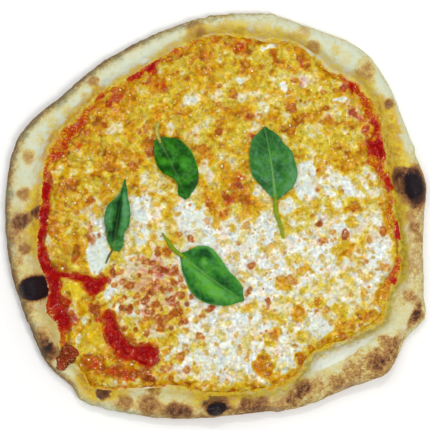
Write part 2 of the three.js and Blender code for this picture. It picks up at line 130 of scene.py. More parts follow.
def roundTheRim(pairs):
    # a smooth closed curve through (bearing, value) pairs, for an array of angles in radians
    bearings = np.array([pair[0] for pair in pairs], float)
    values = np.array([pair[1] for pair in pairs], float)
    count = len(pairs)

    def at(i):
        return bearings[i % count] + 360 * (i // count), values[i % count]

    def slope(i):
        (b0, v0), (b1, v1) = at(i - 1), at(i + 1)
        return (v1 - v0) / (b1 - b0)

    def curve(angle):
        bearing = bearings[0] + np.mod(np.degrees(angle) - bearings[0], 360)
        i = np.searchsorted(bearings, bearing, side="right") - 1
        (b0, v0), (b1, v1) = at(i), at(i + 1)
        span = b1 - b0
        s = (bearing - b0) / span
        return (
            v0 * (2 * s**3 - 3 * s**2 + 1) + slope(i) * span * (s**3 - 2 * s**2 + s)
            + v1 * (3 * s**2 - 2 * s**3) + slope(i + 1) * span * (s**3 - s**2)
        )

    return curve


def atBearing(pairs, angle):
    return roundTheRim(pairs)(angle)


rimReach = roundTheRim(dough["reach"])
rimWidth = roundTheRim(dough["rimWidth"])
rimHeight = roundTheRim(dough["rimHeight"])
crestShare = roundTheRim(dough["crestShare"])
sauceBand = roundTheRim(topping["sauceBand"])


def toppingReach(angle):
    return rimReach(angle) - rimWidth(angle)


def cheeseReach(angle):
    return toppingReach(angle) - sauceBand(angle)


def easeIn(x, low, high):
    s = np.clip((x - low) / (high - low), 0, 1)
    return s * s * (3 - 2 * s)


def softMax(a, b, blend):
    # the larger of two heights, with a fillet where they meet
    return np.maximum(a, b) + np.maximum(blend - np.abs(a - b), 0) ** 2 / (4 * blend)


def flankRise(share):
    # how high the rim's inner slope has risen, from the topping's edge to the crest
    return np.sin(math.pi / 2 * np.clip(share, 0, 1)) ** 0.9


def seenFrom(x, y, placeX, placeY, angle):
    # the points from a place whose axes are turned by the angle
    c, s = math.cos(angle), math.sin(angle)
    return (x - placeX) * c + (y - placeY) * s, (y - placeY) * c - (x - placeX) * s


def ovalShare(x, y, oval):
    # 1 in the middle of an oval (x, y, along, across, turn), 0 at its edge and beyond
    placeX, placeY, along, across, turn = oval[:5]
    u, v = seenFrom(x, y, placeX, placeY, math.radians(turn))
    u, v = u / along, v / across
    return np.maximum(0, 1 - u * u - v * v)


def moundsAt(x, y, mounds):
    lift = np.zeros_like(x)
    for mound in mounds:
        inside = ovalShare(x, y, mound)
        lift += mound[5] * inside * inside * (3 - 2 * inside)
    return lift


def coverOf(x, y, ovals, soft):
    # how strongly a set of ovals (..., turn, strength) covers each point
    cover = np.zeros_like(x)
    for oval in ovals:
        cover = np.maximum(cover, oval[5] * easeIn(ovalShare(x, y, oval), 0, soft))
    return cover


latticeSeed, latticeSize = 7, 4096
latticeTable = np.random.default_rng(latticeSeed).random(latticeSize)
hashSteps = (73856093, 19349663, 83492791)
octaveStep = 2654435761


def grain(points, cell, seed, octaves=1):
    # smooth random lumps of about the cell's size, from -1 to 1
    total, weight = 0, 0
    for octave in range(octaves):
        q = points / (cell / 2**octave) + 17.3 * octave
        base = np.floor(q).astype(np.int64)
        f = q - base
        f = f * f * (3 - 2 * f)
        value = 0
        for corner in range(8):
            step = np.array([corner & 1, corner >> 1 & 1, corner >> 2 & 1])
            cellAt = base + step
            key = (seed + octave) * octaveStep
            for axis, hashStep in enumerate(hashSteps):
                key = key ^ cellAt[:, axis] * hashStep
            share = np.prod(np.where(step == 1, f, 1 - f), axis=1)
            value = value + share * latticeTable[(key ^ key >> 13) % latticeSize]
        total = total + (2 * value - 1) / 2**octave
        weight += 1 / 2**octave
    return total / weight * 1.6


def lumpsAt(spot, lumps, seed):
    # relief of several grains: (size, height) pairs
    return sum(height * grain(spot, size, seed + k, 2) for k, (size, height) in enumerate(lumps))


def flat3(x, y):
    return np.column_stack([x, y, np.zeros_like(x)])


def wandered(x, y, reach, cell, seed):
    # the same points, each pushed a little way, so that ovals come out ragged
    spot = flat3(x, y)
    return x + reach * grain(spot, cell, seed, 2), y + reach * grain(spot, cell, seed + 5, 2)


def makePiece(name, points, faces, node, fields, material):
    # points in mm; fields are named numbers for each point
    mesh = bpy.data.meshes.new(name)
    mesh.from_pydata((np.asarray(points) * mm).tolist(), [], faces)
    mesh.validate()
    for field, values in fields.items():
        layer = mesh.attributes.new(field, "FLOAT", "POINT")
        layer.data.foreach_set("value", np.asarray(values, np.float32))
    mesh.shade_smooth()
    piece = bpy.data.objects.new(name, mesh)
    scene.collection.objects.link(piece)
    mesh.materials.append(material)
    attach(piece, "root")
    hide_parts(node)
    print(f"{name}: {len(mesh.vertices)} points")
    return piece


def ringFaces(rings, count, topMiddle, baseMiddle):
    # quads between rings of count points each, and fans to the two middle points
    faces = []
    i = np.arange(count)
    j = (i + 1) % count
    for k in range(rings - 1):
        a, c = k * count, (k + 1) * count
        faces += np.column_stack([a + i, c + i, c + j, a + j]).tolist()
    last = (rings - 1) * count
    faces += np.column_stack([np.full(count, topMiddle), i, j]).tolist()
    faces += np.column_stack([np.full(count, baseMiddle), last + j, last + i]).tolist()
    return faces


class Wire:
    # a socket that takes part in sums
    def __init__(self, recipe, socket):
        self.recipe, self.socket = recipe, socket

    def maths(self, operation, other=None, swapped=False):
        terms = [self] if other is None else [other, self] if swapped else [self, other]
        return self.recipe.node("ShaderNodeMath", {"operation": operation}, terms)

    def __add__(self, other):
        return self.maths("ADD", other)

    def __sub__(self, other):
        return self.maths("SUBTRACT", other)

    def __rsub__(self, other):
        return self.maths("SUBTRACT", other, swapped=True)

    def __mul__(self, other):
        return self.maths("MULTIPLY", other)

    __radd__ = __add__
    __rmul__ = __mul__

    def atLeast(self, other):
        return self.maths("MAXIMUM", other)

    def over(self, low, high):
        # 0 up to low, 1 from high on, smooth between
        return self.recipe.node(
            "ShaderNodeMapRange", {"interpolation_type": "SMOOTHSTEP"}, [self, low, high, 0.0, 1.0])


def sway(*noises):
    # (noise, weight) pairs that push a value up and down
    return sum((noise - 0.5) * weight for noise, weight in noises)


class Recipe:
    def __init__(self, name):
        self.material = bpy.data.materials.new(name)
        self.material.use_nodes = True
        self.tree = self.material.node_tree
        self.tree.nodes.clear()
        self.place = None

    def node(self, kind, settings=None, values=None, out=0):
        # settings go first; values are a list in socket order, or a dictionary by identifier
        made = self.tree.nodes.new(kind)
        for key, value in (settings or {}).items():
            if key == "stops":
                self.setStops(made.color_ramp, value)
            else:
                setattr(made, key, value)
        pairs = values.items() if isinstance(values, dict) else enumerate(values or [])
        for key, value in pairs:
            socket = made.inputs[key] if isinstance(key, int) else next(
                s for s in made.inputs if s.identifier == key)
            if isinstance(value, Wire):
                self.tree.links.new(value.socket, socket)
            elif value is not None:
                socket.default_value = value
        if not made.outputs:
            return None
        if isinstance(out, str):
            return Wire(self, next(s for s in made.outputs if s.identifier == out))
        return Wire(self, made.outputs[out])

    def setStops(self, ramp, stops):
        while len(ramp.elements) < len(stops):
            ramp.elements.new(0.5)
        for element, (place, shade) in zip(ramp.elements, stops):
            element.position, element.color = place, shade

    def ramp(self, value, *stops):
        # a colour for each value from 0 to 1; stops are (place, red, green, blue)
        return self.node(
            "ShaderNodeValToRGB", {"stops": [(stop[0], tint(*stop[1:])) for stop in stops]}, [value])

    def field(self, name):
        return self.node("ShaderNodeAttribute", {"attribute_name": name}, out="Fac")

    def objectPlace(self):
        if self.place is None:
            self.place = self.node("ShaderNodeTexCoord", out="Object")
        return self.place

    def noise(self, size, detail=2.0, rough=0.5, offset=0.0, swirl=0.0):
        # size in mm is about the width of one lump; from 0 to 1
        place = self.objectPlace()
        if offset:
            place = self.node(
                "ShaderNodeVectorMath", {"operation": "ADD"}, [place, (offset, offset, offset)])
        return self.node(
            "ShaderNodeTexNoise", {"noise_dimensions": "3D"},
            {"Vector": place, "Scale": 1 / (size * mm), "Detail": detail, "Roughness": rough,
             "Distortion": swirl},
            out="Fac")

    def mix(self, factor, first, second):
        return self.node(
            "ShaderNodeMix", {"data_type": "RGBA"},
            {"Factor_Float": factor, "A_Color": first, "B_Color": second}, out="Result_Color")

    def tinted(self, colour, factor, *shade):
        return self.mix(factor, colour, tint(*shade))

    def brighten(self, colour, share):
        # the same hue, lighter or darker
        return self.node(
            "ShaderNodeVectorMath", {"operation": "SCALE"}, {"Vector": colour, "Scale": share},
            out="Vector")

    def bumps(self, *layers):
        # each layer is a height, its depth in mm and its strength
        skin = None
        for height, depth, strength in layers:
            skin = self.node(
                "ShaderNodeBump", {},
                {"Strength": strength, "Distance": depth * mm, "Height": height, "Normal": skin},
                out="Normal")
        return skin

    def finish(self, **sockets):
        names = {
            "colour": "Base Color", "rough": "Roughness", "normal": "Normal",
            "coat": "Coat Weight", "coatRough": "Coat Roughness", "specular": "Specular IOR Level",
        }
        shader = self.node(
            "ShaderNodeBsdfPrincipled", {}, {names[key]: value for key, value in sockets.items()})
        self.node("ShaderNodeOutputMaterial", {}, {"Surface": shader})
        return self.material


def tint(red, green, blue):
    # an everyday 0 to 255 colour as the linear one that a shader takes
    def linear(value):
        share = value / 255
        return share / 12.92 if share <= 0.04045 else ((share + 0.055) / 1.055) ** 2.4

    return (linear(red), linear(green), linear(blue), 1.0)


# a camera that looks straight down on a pale floor, under soft lamps
view = {"distance": 1.8, "width": 0.3225, "sensor": 36, "centre": (0.0, 0.00075), "height": 0.008}
camera = bpy.data.objects.new("camera", bpy.data.cameras.new("camera"))
scene.collection.objects.link(camera)
camera.data.sensor_width = view["sensor"]
camera.data.lens = view["sensor"] * view["distance"] / view["width"]
camera.data.clip_end = 20
camera.location = (*view["centre"], view["height"] + view["distance"])
scene.camera = camera

studio = {
    "floor": 8.0,
    "sky": 0.6,
    # name, place, size, watts
    "lamps": [
        ("keyLamp", (0.5, -0.3, 1.25), 0.5, 6),
        ("fillLamp", (-0.5, 0.6, 1.15), 0.9, 3.5),
        ("glintLamp", (0.1, 0.65, 1.2), 0.06, 2.6),
    ],
}
world = bpy.data.worlds.new("studio")
scene.world = world
world.use_nodes = True
world.node_tree.nodes["Background"].inputs["Color"].default_value = (1, 1, 1, 1)
world.node_tree.nodes["Background"].inputs["Strength"].default_value = studio["sky"]
for name, place, size, watts in studio["lamps"]:
    lamp = bpy.data.objects.new(name, bpy.data.lights.new(name, "AREA"))
    lamp.data.shape = "DISK"
    lamp.data.size = size
    lamp.data.energy = watts
    lamp.location = place
    lamp.rotation_euler = (-lamp.location).to_track_quat("-Z", "Y").to_euler()
    scene.collection.objects.link(lamp)


def paleFloor():
    recipe = Recipe("paleFloor")
    cloudy = recipe.noise(400, 2)
    return recipe.finish(
        colour=recipe.mix(cloudy, tint(250, 250, 249), tint(247, 247, 246)), rough=0.9, specular=0.1)


floorMesh = bpy.data.meshes.new("floor")
half = studio["floor"] / 2
floorMesh.from_pydata(
    [(-half, -half, 0), (half, -half, 0), (half, half, 0), (-half, half, 0)], [], [(0, 1, 2, 3)])
floorMesh.materials.append(paleFloor())
floor = bpy.data.objects.new("floor", floorMesh)
scene.collection.objects.link(floor)
print("studio ready")


# the dough: rings of points from its middle over the rim to the middle of its base
crumb = {
    "spokes": 1100,
    "bed": [0.3, 0.6, 0.85, 0.96, 1.0],  # rings hidden under the sauce, as shares of its reach
    "flank": 22,
    "fillet": 3,  # how far the topping's edge is rounded into the rim
    "brim": 17,
    "foot": 9,
    "under": 34,  # rings of the flat base
    "lumps": [(9, 0.42), (4, 0.22), (1.8, 0.1)],  # size, height
    "bubbles": 190,
    "bubbleSeed": 3,
    "bakeSpread": 1.25,  # how far a round bake reaches, in radii
    "baseHeight": 0.6,  # all below it is the base
    "oiledAbove": 2.9,
    "cushion": 0.02,  # between the relief and the solid's overall box
    # round bakes: x, y, radius, toasted, charred
    "marks": [
        (-91, 101, 4.5, 0.6, 0), (-88, 96, 3, 0.45, 0), (-97, 89, 4, 0.35, 0), (-109, 78, 4.5, 0.35, 0),
        (-122, 70, 4.5, 0.25, 0), (-131, 57, 4, 0.2, 0), (-140, 45, 5, 0.5, 0), (-143, 16, 5, 0.55, 0),
        (-132, 3, 6, 0.8, 0.15), (-146, -5, 7, 0.75, 0.1), (-139, -1, 4.5, 0.6, 0), (-142, -24, 5, 0.6, 0),
        (-147, -33, 4, 0.4, 0), (-150, -15, 6, 0.5, 0.05), (-14, 140, 8, 0.5, 0), (-10, 136, 4.5, 0.5, 0),
        (-20, 131, 4.5, 0.35, 0), (-28, 123, 4.5, 0.3, 0), (18, 138, 4, 0.55, 0), (5, 141, 4.5, 0.25, 0),
        (66, 137, 5, 0.4, 0), (58, 135, 3, 0.35, 0), (73, 126, 5, 0.6, 0), (90, 124, 4, 0.25, 0),
        (98, 118, 4, 0.2, 0), (112, 108, 7, 0.5, 0), (116, 101, 4, 0.3, 0), (130, 84, 4, 0.8, 0.1),
        (133, 67, 4, 0.6, 0.05), (136, 52, 3, 0.4, 0), (132, 73, 2, 0.6, 0), (137, 63, 2, 0.5, 0),
        (137, 50, 2.5, 0.55, 0), (127, 78, 2, 0.45, 0), (130, 58, 2, 0.35, 0), (145, 0, 4.5, 0.5, 0),
        (149, -8, 4.5, 0.6, 0), (152, -17, 4, 0.4, 0), (145, -60, 4.5, 0.5, 0), (149, -41, 4.5, 0.3, 0),
        (152, -75, 4.5, 0.5, 0), (150, -63, 4, 0.35, 0), (143, -35, 4, 0.3, 0), (126, -93, 5, 0.55, 0),
        (139, -89, 4.5, 0.35, 0), (120, -110, 10, 0.62, 0), (129, -104, 7, 0.6, 0), (123, -111, 5, 0.72, 0),
        (133, -97, 4.5, 0.6, 0.1), (107, -102, 4.5, 0.35, 0), (103, -117, 7.5, 0.48, 0),
        (91, -124, 7, 0.6, 0), (66, -129, 6, 0.72, 0), (58, -136, 6, 0.6, 0), (76, -128, 6, 0.5, 0),
        (50, -141, 6, 0.5, 0), (36, -142, 7, 0.65, 0), (24, -142, 7, 0.7, 0), (13, -145, 5, 0.5, 0),
        (-141, -69, 5, 0.45, 0), (-129, -91, 6, 0.6, 0.05), (-124, -102, 7, 0.85, 0.45),
        (-127, -97, 5, 0.6, 0.1), (-119, -117, 4, 0.35, 0), (-99, -122, 4.5, 0.55, 0),
        (-84, -132, 6, 0.85, 0.1), (-67, -140, 6, 0.6, 0), (-55, -123, 6, 0.65, 0),
        (-47, -125, 7.5, 0.65, 0), (-51, -141, 8, 0.6, 0), (-41, -144, 6, 0.45, 0),
        (-29, -146, 6, 0.8, 0.1), (-21, -146, 5, 0.7, 0.05), (-90, -138, 4, 0.3, 0), (-76, -138, 4, 0.3, 0),
        (-11, -140, 4.5, 0.3, 0), (-108, -128, 4, 0.25, 0),
    ],
    # long ones: x, y, along, across, turn, toasted, charred
    "scorches": [
        (-135, -54, 14, 11, 8, 1, 1.25), (150, 21, 19.5, 9.5, 97, 1, 0.76), (140, 30, 10, 7, 60, 0.6, 0),
        (142, 15, 7, 5, 90, 0.6, 0), (1, -144, 9, 6, 15, 1, 1), (0, -140, 13.5, 8, 8, 0.72, 0),
        (150, -74, 10.5, 4, 65, 0.7, 0), (141, 24, 8, 15, 90, 0.7, 0), (137, 33, 7.5, 4.5, 40, 0.6, 0),
        (112, 83, 5, 6, 60, 0.7, 0), (139, 18, 4, 2, 0, 0.7, 0),
    ],
    # how dark the outermost edge is baked, by bearing
    "edgeToast": [
        (0, 0.3), (22, 0.15), (45, 0.2), (70, 0.3), (90, 0.45), (115, 0.6), (135, 0.7), (155, 0.65),
        (175, 0.6), (195, 0.7), (215, 0.8), (228, 0.6), (240, 0.2), (255, 0.5), (272, 0.7), (300, 0.55),
        (315, 0.6), (328, 0.35), (335, 0.2), (345, 0.3),
    ],
    # how much painted shade greys the outermost edge as it curves under, by bearing
    "paintedEdgeShade": [
        (0, 0.3), (30, 0.15), (60, 0.2), (85, 0.5), (110, 0.9), (135, 1), (160, 1), (185, 0.9), (205, 0.8),
        (220, 0.9), (235, 0.5), (255, 0.5), (280, 0.4), (320, 0.3), (345, 0.3),
    ],
    # how far in from the outline the dark edge reaches, in mm, by bearing
    "edgeDepth": [
        (0, 5), (45, 2.5), (90, 2.5), (120, 4), (150, 4.5), (180, 5), (205, 5), (225, 4), (250, 5),
        (275, 8), (295, 11), (312, 13), (325, 6), (345, 9),
    ],
    # how brown the whole rim is, by bearing
    "wholeToast": [
        (0, 0.34), (10, 0.3), (22, 0.12), (60, 0.06), (80, 0.14), (100, 0.12), (120, 0.03), (150, 0.02),
        (168, 0.1), (180, 0.28), (200, 0.24), (214, 0.26), (228, 0.2), (245, 0.16), (270, 0.28),
        (300, 0.22), (318, 0.14), (330, 0.18), (342, 0.32), (352, 0.36),
    ],
    # how speckled the bake is, by bearing
    "speckle": [
        (0, 0.7), (30, 0.4), (90, 0.35), (180, 0.35), (250, 0.5), (280, 0.8), (318, 1), (345, 0.8)],
    # how far oil from the topping has soaked into the dough, by bearing
    "oilReach": [
        (0, 7), (10, 11), (16, 15), (24, 15), (32, 12), (38, 7), (50, 6), (70, 9), (84, 11), (94, 9),
        (103, 7), (118, 5), (155, 5), (168, 6), (176, 11), (186, 10), (200, 4), (226, 4), (232, 9),
        (240, 9), (246, 4), (252, 6), (262, 11), (270, 12), (280, 6), (300, 3), (320, 3), (345, 4),
    ],
    # and how strongly
    "soak": [
        (0, 0.7), (10, 1), (20, 1.25), (33, 1.15), (42, 0.7), (55, 0.5), (70, 0.62), (88, 0.65),
        (100, 0.55), (112, 0.7), (135, 0.95), (155, 0.9), (165, 0.75), (176, 0.9), (188, 0.8), (200, 0.3),
        (217, 0.3), (227, 0.3), (232, 0.85), (240, 0.8), (246, 0.25), (256, 0.2), (262, 0.45), (268, 0.9),
        (285, 0.35), (300, 0.22), (320, 0.14), (335, 0.22), (350, 0.5),
    ],
    # how dark that oil is at the topping's edge, by bearing
    "olive": [
        (0, 0.9), (10, 0.5), (20, 0.15), (60, 0.15), (90, 0.1), (150, 0), (200, 0), (240, 0.15), (262, 0.4),
        (285, 0.6), (300, 0.9), (325, 1), (340, 1), (350, 1),
    ],
    # the pale dusted face of the rim: x, y, along, across, turn
    "dusted": (93, -98, 42, 11, 31),
}


def crustSurface():
    angle = np.arange(crumb["spokes"]) * fullTurn / crumb["spokes"]
    outer, inner, height = rimReach(angle), toppingReach(angle), rimHeight(angle)
    crest = inner + (outer - inner) * crestShare(angle)
    belly = height * dough["bellyShare"]
    bed = dough["bed"]
    reach, z, relief = [], [], []

    def ring(r, h, share):
        reach.append(r * np.ones_like(angle))
        z.append(h * np.ones_like(angle))
        relief.append(share * np.ones_like(angle))

    for share in crumb["bed"]:
        ring(inner * share, bed, 0)
    for k in range(1, crumb["flank"] + 1):
        s = (k / crumb["flank"]) ** 1.2
        ring(inner + (crest - inner) * s,
             softMax(bed + (height - bed) * flankRise(s), topping["sauceTop"] - 0.1, crumb["fillet"]),
             min(1, 3 * s))
    for k in range(1, crumb["brim"] + 1):
        a = math.pi / 2 * k / crumb["brim"]
        ring(crest + (outer - crest) * math.sin(a), belly + (height - belly) * math.cos(a), 1)
    for k in range(1, crumb["foot"] + 1):
        a = math.pi / 2 * k / crumb["foot"]
        tucked = outer - dough["footTuck"] * (1 - math.cos(a))
        ring(tucked, belly * (1 - math.sin(a)), 1 - k / crumb["foot"])
    for k in range(1, crumb["under"] + 1):
        ring((outer - dough["footTuck"]) * (1 - k / (crumb["under"] + 1)), 0, 0)
    reach, z, relief = np.array(reach), np.array(z), np.array(relief)
    x, y = reach * np.cos(angle), reach * np.sin(angle)
    z = z + moundsAt(x, y, dough["blisters"]) * np.clip((z - bed) / 2, 0, 1)
    return angle, np.stack([x, y, z], -1), relief, reach


def ringNormals(points):
    # outward directions of a surface made of rings that close on themselves
    down = np.gradient(points, axis=0)
    around = np.roll(points, -1, 1) - np.roll(points, 1, 1)
    normal = np.cross(down, around)
    return normal / np.maximum(np.linalg.norm(normal, axis=-1, keepdims=True), 1e-9)


def rimBubbles(count, seed):
    # small bubbles strewn over the rim: x, y, along, across, turn, height
    dice = np.random.default_rng(seed)
    angle = dice.random(count) * fullTurn
    share = dice.random(count) ** 0.8
    reach = toppingReach(angle) + rimWidth(angle) * (0.12 + 0.88 * share)
    radius = 1.3 + 3.6 * dice.random(count) ** 2
    return np.column_stack([
        reach * np.cos(angle), reach * np.sin(angle), radius * (1 + 0.5 * dice.random(count)), radius,
        360 * dice.random(count), radius * (0.1 + 0.16 * dice.random(count))])


def insideCad(points):
    # keeps relief from passing the solid's overall box
    low, high = (np.array(corner) / mm for corner in cadBox)
    return np.clip(points, low + crumb["cushion"], high - crumb["cushion"])


def doughTints(recipe, toast, speckled, flour):
    # bare, dusted and oily dough; also gives how oily it is
    grit, fine = recipe.noise(0.8, 1), recipe.noise(1.5, 2, offset=0.05)
    small, patch = recipe.noise(3.5, 2, offset=0.11), recipe.noise(11, 2, offset=0.23)
    broad = recipe.noise(30, 1, offset=0.41)
    mottle = sway((patch, 0.4), (small, 0.4), (fine, 0.25), (grit, 0.15))
    mottle = mottle + sway((small, 0.3), (fine, 0.45)) * speckled
    mottle = mottle * (0.35 + toast.over(0.1, 0.45) * 0.65) * (1 - toast.over(0.75, 1) * 0.8)
    colour = recipe.ramp(
        toast + mottle, (0, 203, 211, 192), (0.1, 205, 206, 172), (0.22, 206, 193, 124),
        (0.36, 192, 160, 94), (0.52, 168, 126, 74), (0.68, 134, 92, 56), (0.84, 86, 54, 40),
        (1, 30, 22, 28))
    pale = (broad * 0.5 + patch * 0.5).over(0.4, 0.62) * (1 - toast.over(0.15, 0.5))
    colour = recipe.tinted(colour, pale * 0.6, 210, 215, 192)
    dusty = (flour + sway((small, 1), (patch, 0.8), (fine, 0.6))).over(0.3, 0.95)
    floury = recipe.mix(broad.over(0.4, 0.6), tint(224, 230, 220), tint(206, 212, 188))
    colour = recipe.mix(dusty * (1 - toast.over(0.45, 0.75)) * 0.85, colour, floury)
    oily = recipe.field("oil") * 1.2 + sway((small, 1.1), (patch, 1), (fine, 0.5))
    oily = oily.over(0.05, 1)
    gold = recipe.ramp(
        small * 0.5 + fine * 0.25 + patch * 0.25,
        (0.36, 166, 112, 8), (0.45, 198, 152, 18), (0.55, 211, 184, 34), (0.64, 212, 200, 96))
    colour = recipe.mix(oily * (1 - toast.over(0.4, 0.7)) * 0.9, colour, gold)
    groove = (recipe.field("olive") + sway((small, 1.2), (patch, 0.8))).over(0.1, 0.85)
    groove = groove * recipe.field("olive").over(0, 0.15) * (1 - toast.over(0.5, 0.8))
    darkOil = recipe.mix(small.over(0.4, 0.6), tint(160, 136, 16), tint(192, 174, 56))
    colour = recipe.mix(groove * 0.85, colour, darkOil)
    return colour, oily, small, fine, grit


def bakedDough():
    recipe = Recipe("bakedDough")
    toast, flour = recipe.field("toast"), recipe.field("flour")
    colour, oily, small, fine, grit = doughTints(recipe, toast, recipe.field("speckle"), flour)
    # painted shade: the outermost edge is darkened towards grey brown where it curves under
    shaded = (recipe.field("grey") + sway((small, 0.8), (fine, 0.7))).over(0, 1.1)
    colour = recipe.tinted(colour, shaded * 0.75, 98, 88, 66)
    rough = 0.75 - oily * 0.4 - toast.over(0.85, 1.1) * 0.25 + (small - 0.5) * 0.15
    skin = recipe.bumps((small, 0.8, 0.5), (fine, 0.5, 0.5), (grit, 0.2, 0.5))
    return recipe.finish(colour=colour, rough=rough, normal=skin, specular=0.08)


def flourAt(x, y):
    strewn = 0.3 * easeIn(grain(flat3(x, y), 22, 41), 0.2, 0.9)
    return easeIn(ovalShare(x, y, crumb["dusted"]), 0, 0.6) + strewn


def oilAndOlive(x, y):
    # how soaked the dough is, and how much dark oil has gathered at the topping's edge
    spread, place = np.arctan2(y, x), flat3(x, y)
    outward = np.hypot(x, y) - toppingReach(spread)
    wobble, fray = grain(place, 9, 21, 2), grain(place, 3, 22, 2)
    soaked = atBearing(crumb["oilReach"], spread)
    oil = (1 - easeIn(outward + 2.5 * wobble + fray, 0.2 * soaked, 1.6 * soaked))
    olive = np.exp(-((np.maximum(outward + wobble, 0) / 4.2) ** 2)) * (1 + 0.3 * fray)
    return oil * atBearing(crumb["soak"], spread), olive * atBearing(crumb["olive"], spread)


angle, points, relief, reach = crustSurface()
normals = ringNormals(points)
flatPoints = points.reshape(-1, 3)
lift = lumpsAt(flatPoints, crumb["lumps"], 0)
x, y = flatPoints[:, 0], flatPoints[:, 1]
lift = lift + moundsAt(x, y, rimBubbles(crumb["bubbles"], crumb["bubbleSeed"]))
points = points + normals * (relief * lift.reshape(relief.shape))[..., None]
flatPoints = insideCad(points.reshape(-1, 3))
x, y, z = flatPoints.T
spread = np.tile(angle, len(points))
outward = reach.ravel() - toppingReach(spread)
toOutline = rimReach(spread) - reach.ravel()
wobble, fray = grain(flatPoints, 9, 21, 2), grain(flatPoints, 3, 22, 2)
toast = atBearing(crumb["wholeToast"], spread)
for markX, markY, radius, toasted, charred in crumb["marks"]:
    size = radius * crumb["bakeSpread"]
    crumb["scorches"].append((markX, markY, size, size, 0, toasted, charred))
for markX, markY, along, across, turn, toasted, charred in crumb["scorches"]:
    u, v = seenFrom(x, y, markX, markY, math.radians(turn))
    ragged = 0.28 if charred < 0.5 else 0.06
    near = 1 - np.hypot(u / along, v / across) * (1 + ragged * wobble + 0.5 * ragged * fray)
    bake = toasted * easeIn(near, -0.35, 0.55) * 0.85
    toast = np.maximum(toast, bake) + 0.3 * np.minimum(toast, bake)
    toast = np.maximum(toast, charred * easeIn(near, -0.14, 0.36))
edge = atBearing(crumb["edgeToast"], spread) * (1 + 0.3 * wobble)
depth = atBearing(crumb["edgeDepth"], spread)
toast = np.maximum(toast, 0.8 * edge * np.exp(-((toOutline / (1.4 * depth)) ** 1.3)))
# painted shade on the outermost edge, strongest at the outline
grey = atBearing(crumb["paintedEdgeShade"], spread) * (1 - easeIn(toOutline + 2 * wobble, 0, 9))
leopard = grain(flatPoints, 13, 31, 2)
onBase = z < crumb["baseHeight"]
baseToast = 0.18 + 0.12 * fray + 0.26 * easeIn(leopard, -0.4, 0.3) + 0.42 * easeIn(leopard, 0.3, 0.75)
toast = np.where(onBase & (toOutline > 4), baseToast, toast)
speckle = atBearing(crumb["speckle"], spread) * easeIn(outward, 2, 8)
oil, olive = oilAndOlive(x, y) * (z > crumb["oiledAbove"])
flour = np.where(onBase, 0.5 * easeIn(-wobble, -0.4, 0.6), flourAt(x, y))
crustFields = {
    "toast": toast, "oil": oil, "olive": olive, "flour": flour, "speckle": speckle, "grey": grey}
crustPiece = makePiece(
    "crustDough",
    np.vstack([flatPoints, (0, 0, dough["bed"]), (0, 0, crumb["cushion"])]),
    ringFaces(len(points), crumb["spokes"], len(flatPoints), len(flatPoints) + 1),
    "crust",
    {name: np.append(values, (values[0], values[-1])) for name, values in crustFields.items()},
    bakedDough(),
)


def filledOutline(x, y, edges):
    # triangles within an outline that has the inside on its left, or else where it crosses itself
    flat = delaunay_2d_cdt(list(zip(x.tolist(), y.tolist())), edges, [], 0, 1e-6)
    crossings = [point for point, origin in zip(flat[0], flat[3]) if not origin]
    if crossings:
        return [], crossings
    faces = [[flat[3][corner][0] for corner in face] for face in flat[2]]
    owner = {(face[k - 1], face[k]): n for n, face in enumerate(faces) for k in range(3)}
    fence = {tuple(edge) for edge in edges}
    inside, waiting = set(), [owner[edge] for edge in fence]
    while waiting:
        n = waiting.pop()
        if n in inside:
            continue
        inside.add(n)
        for k in range(3):
            side = (faces[n][k - 1], faces[n][k])
            if side not in fence:
                waiting.append(owner[side[::-1]])
    return [faces[n] for n in sorted(inside)], []


sheet = {
    "halfSpan": 142,  # of the lattice
    "kept": 0.25,  # how far inside the outline a lattice point has to be, in steps
    "rounds": 4,
    "probe": 0.05,  # how far apart the outline's slope is measured
    "gentlest": 0.3,  # the least slope that the edge is drawn out by
    "attempts": 6,  # at a base whose outline doesn't cross itself
}


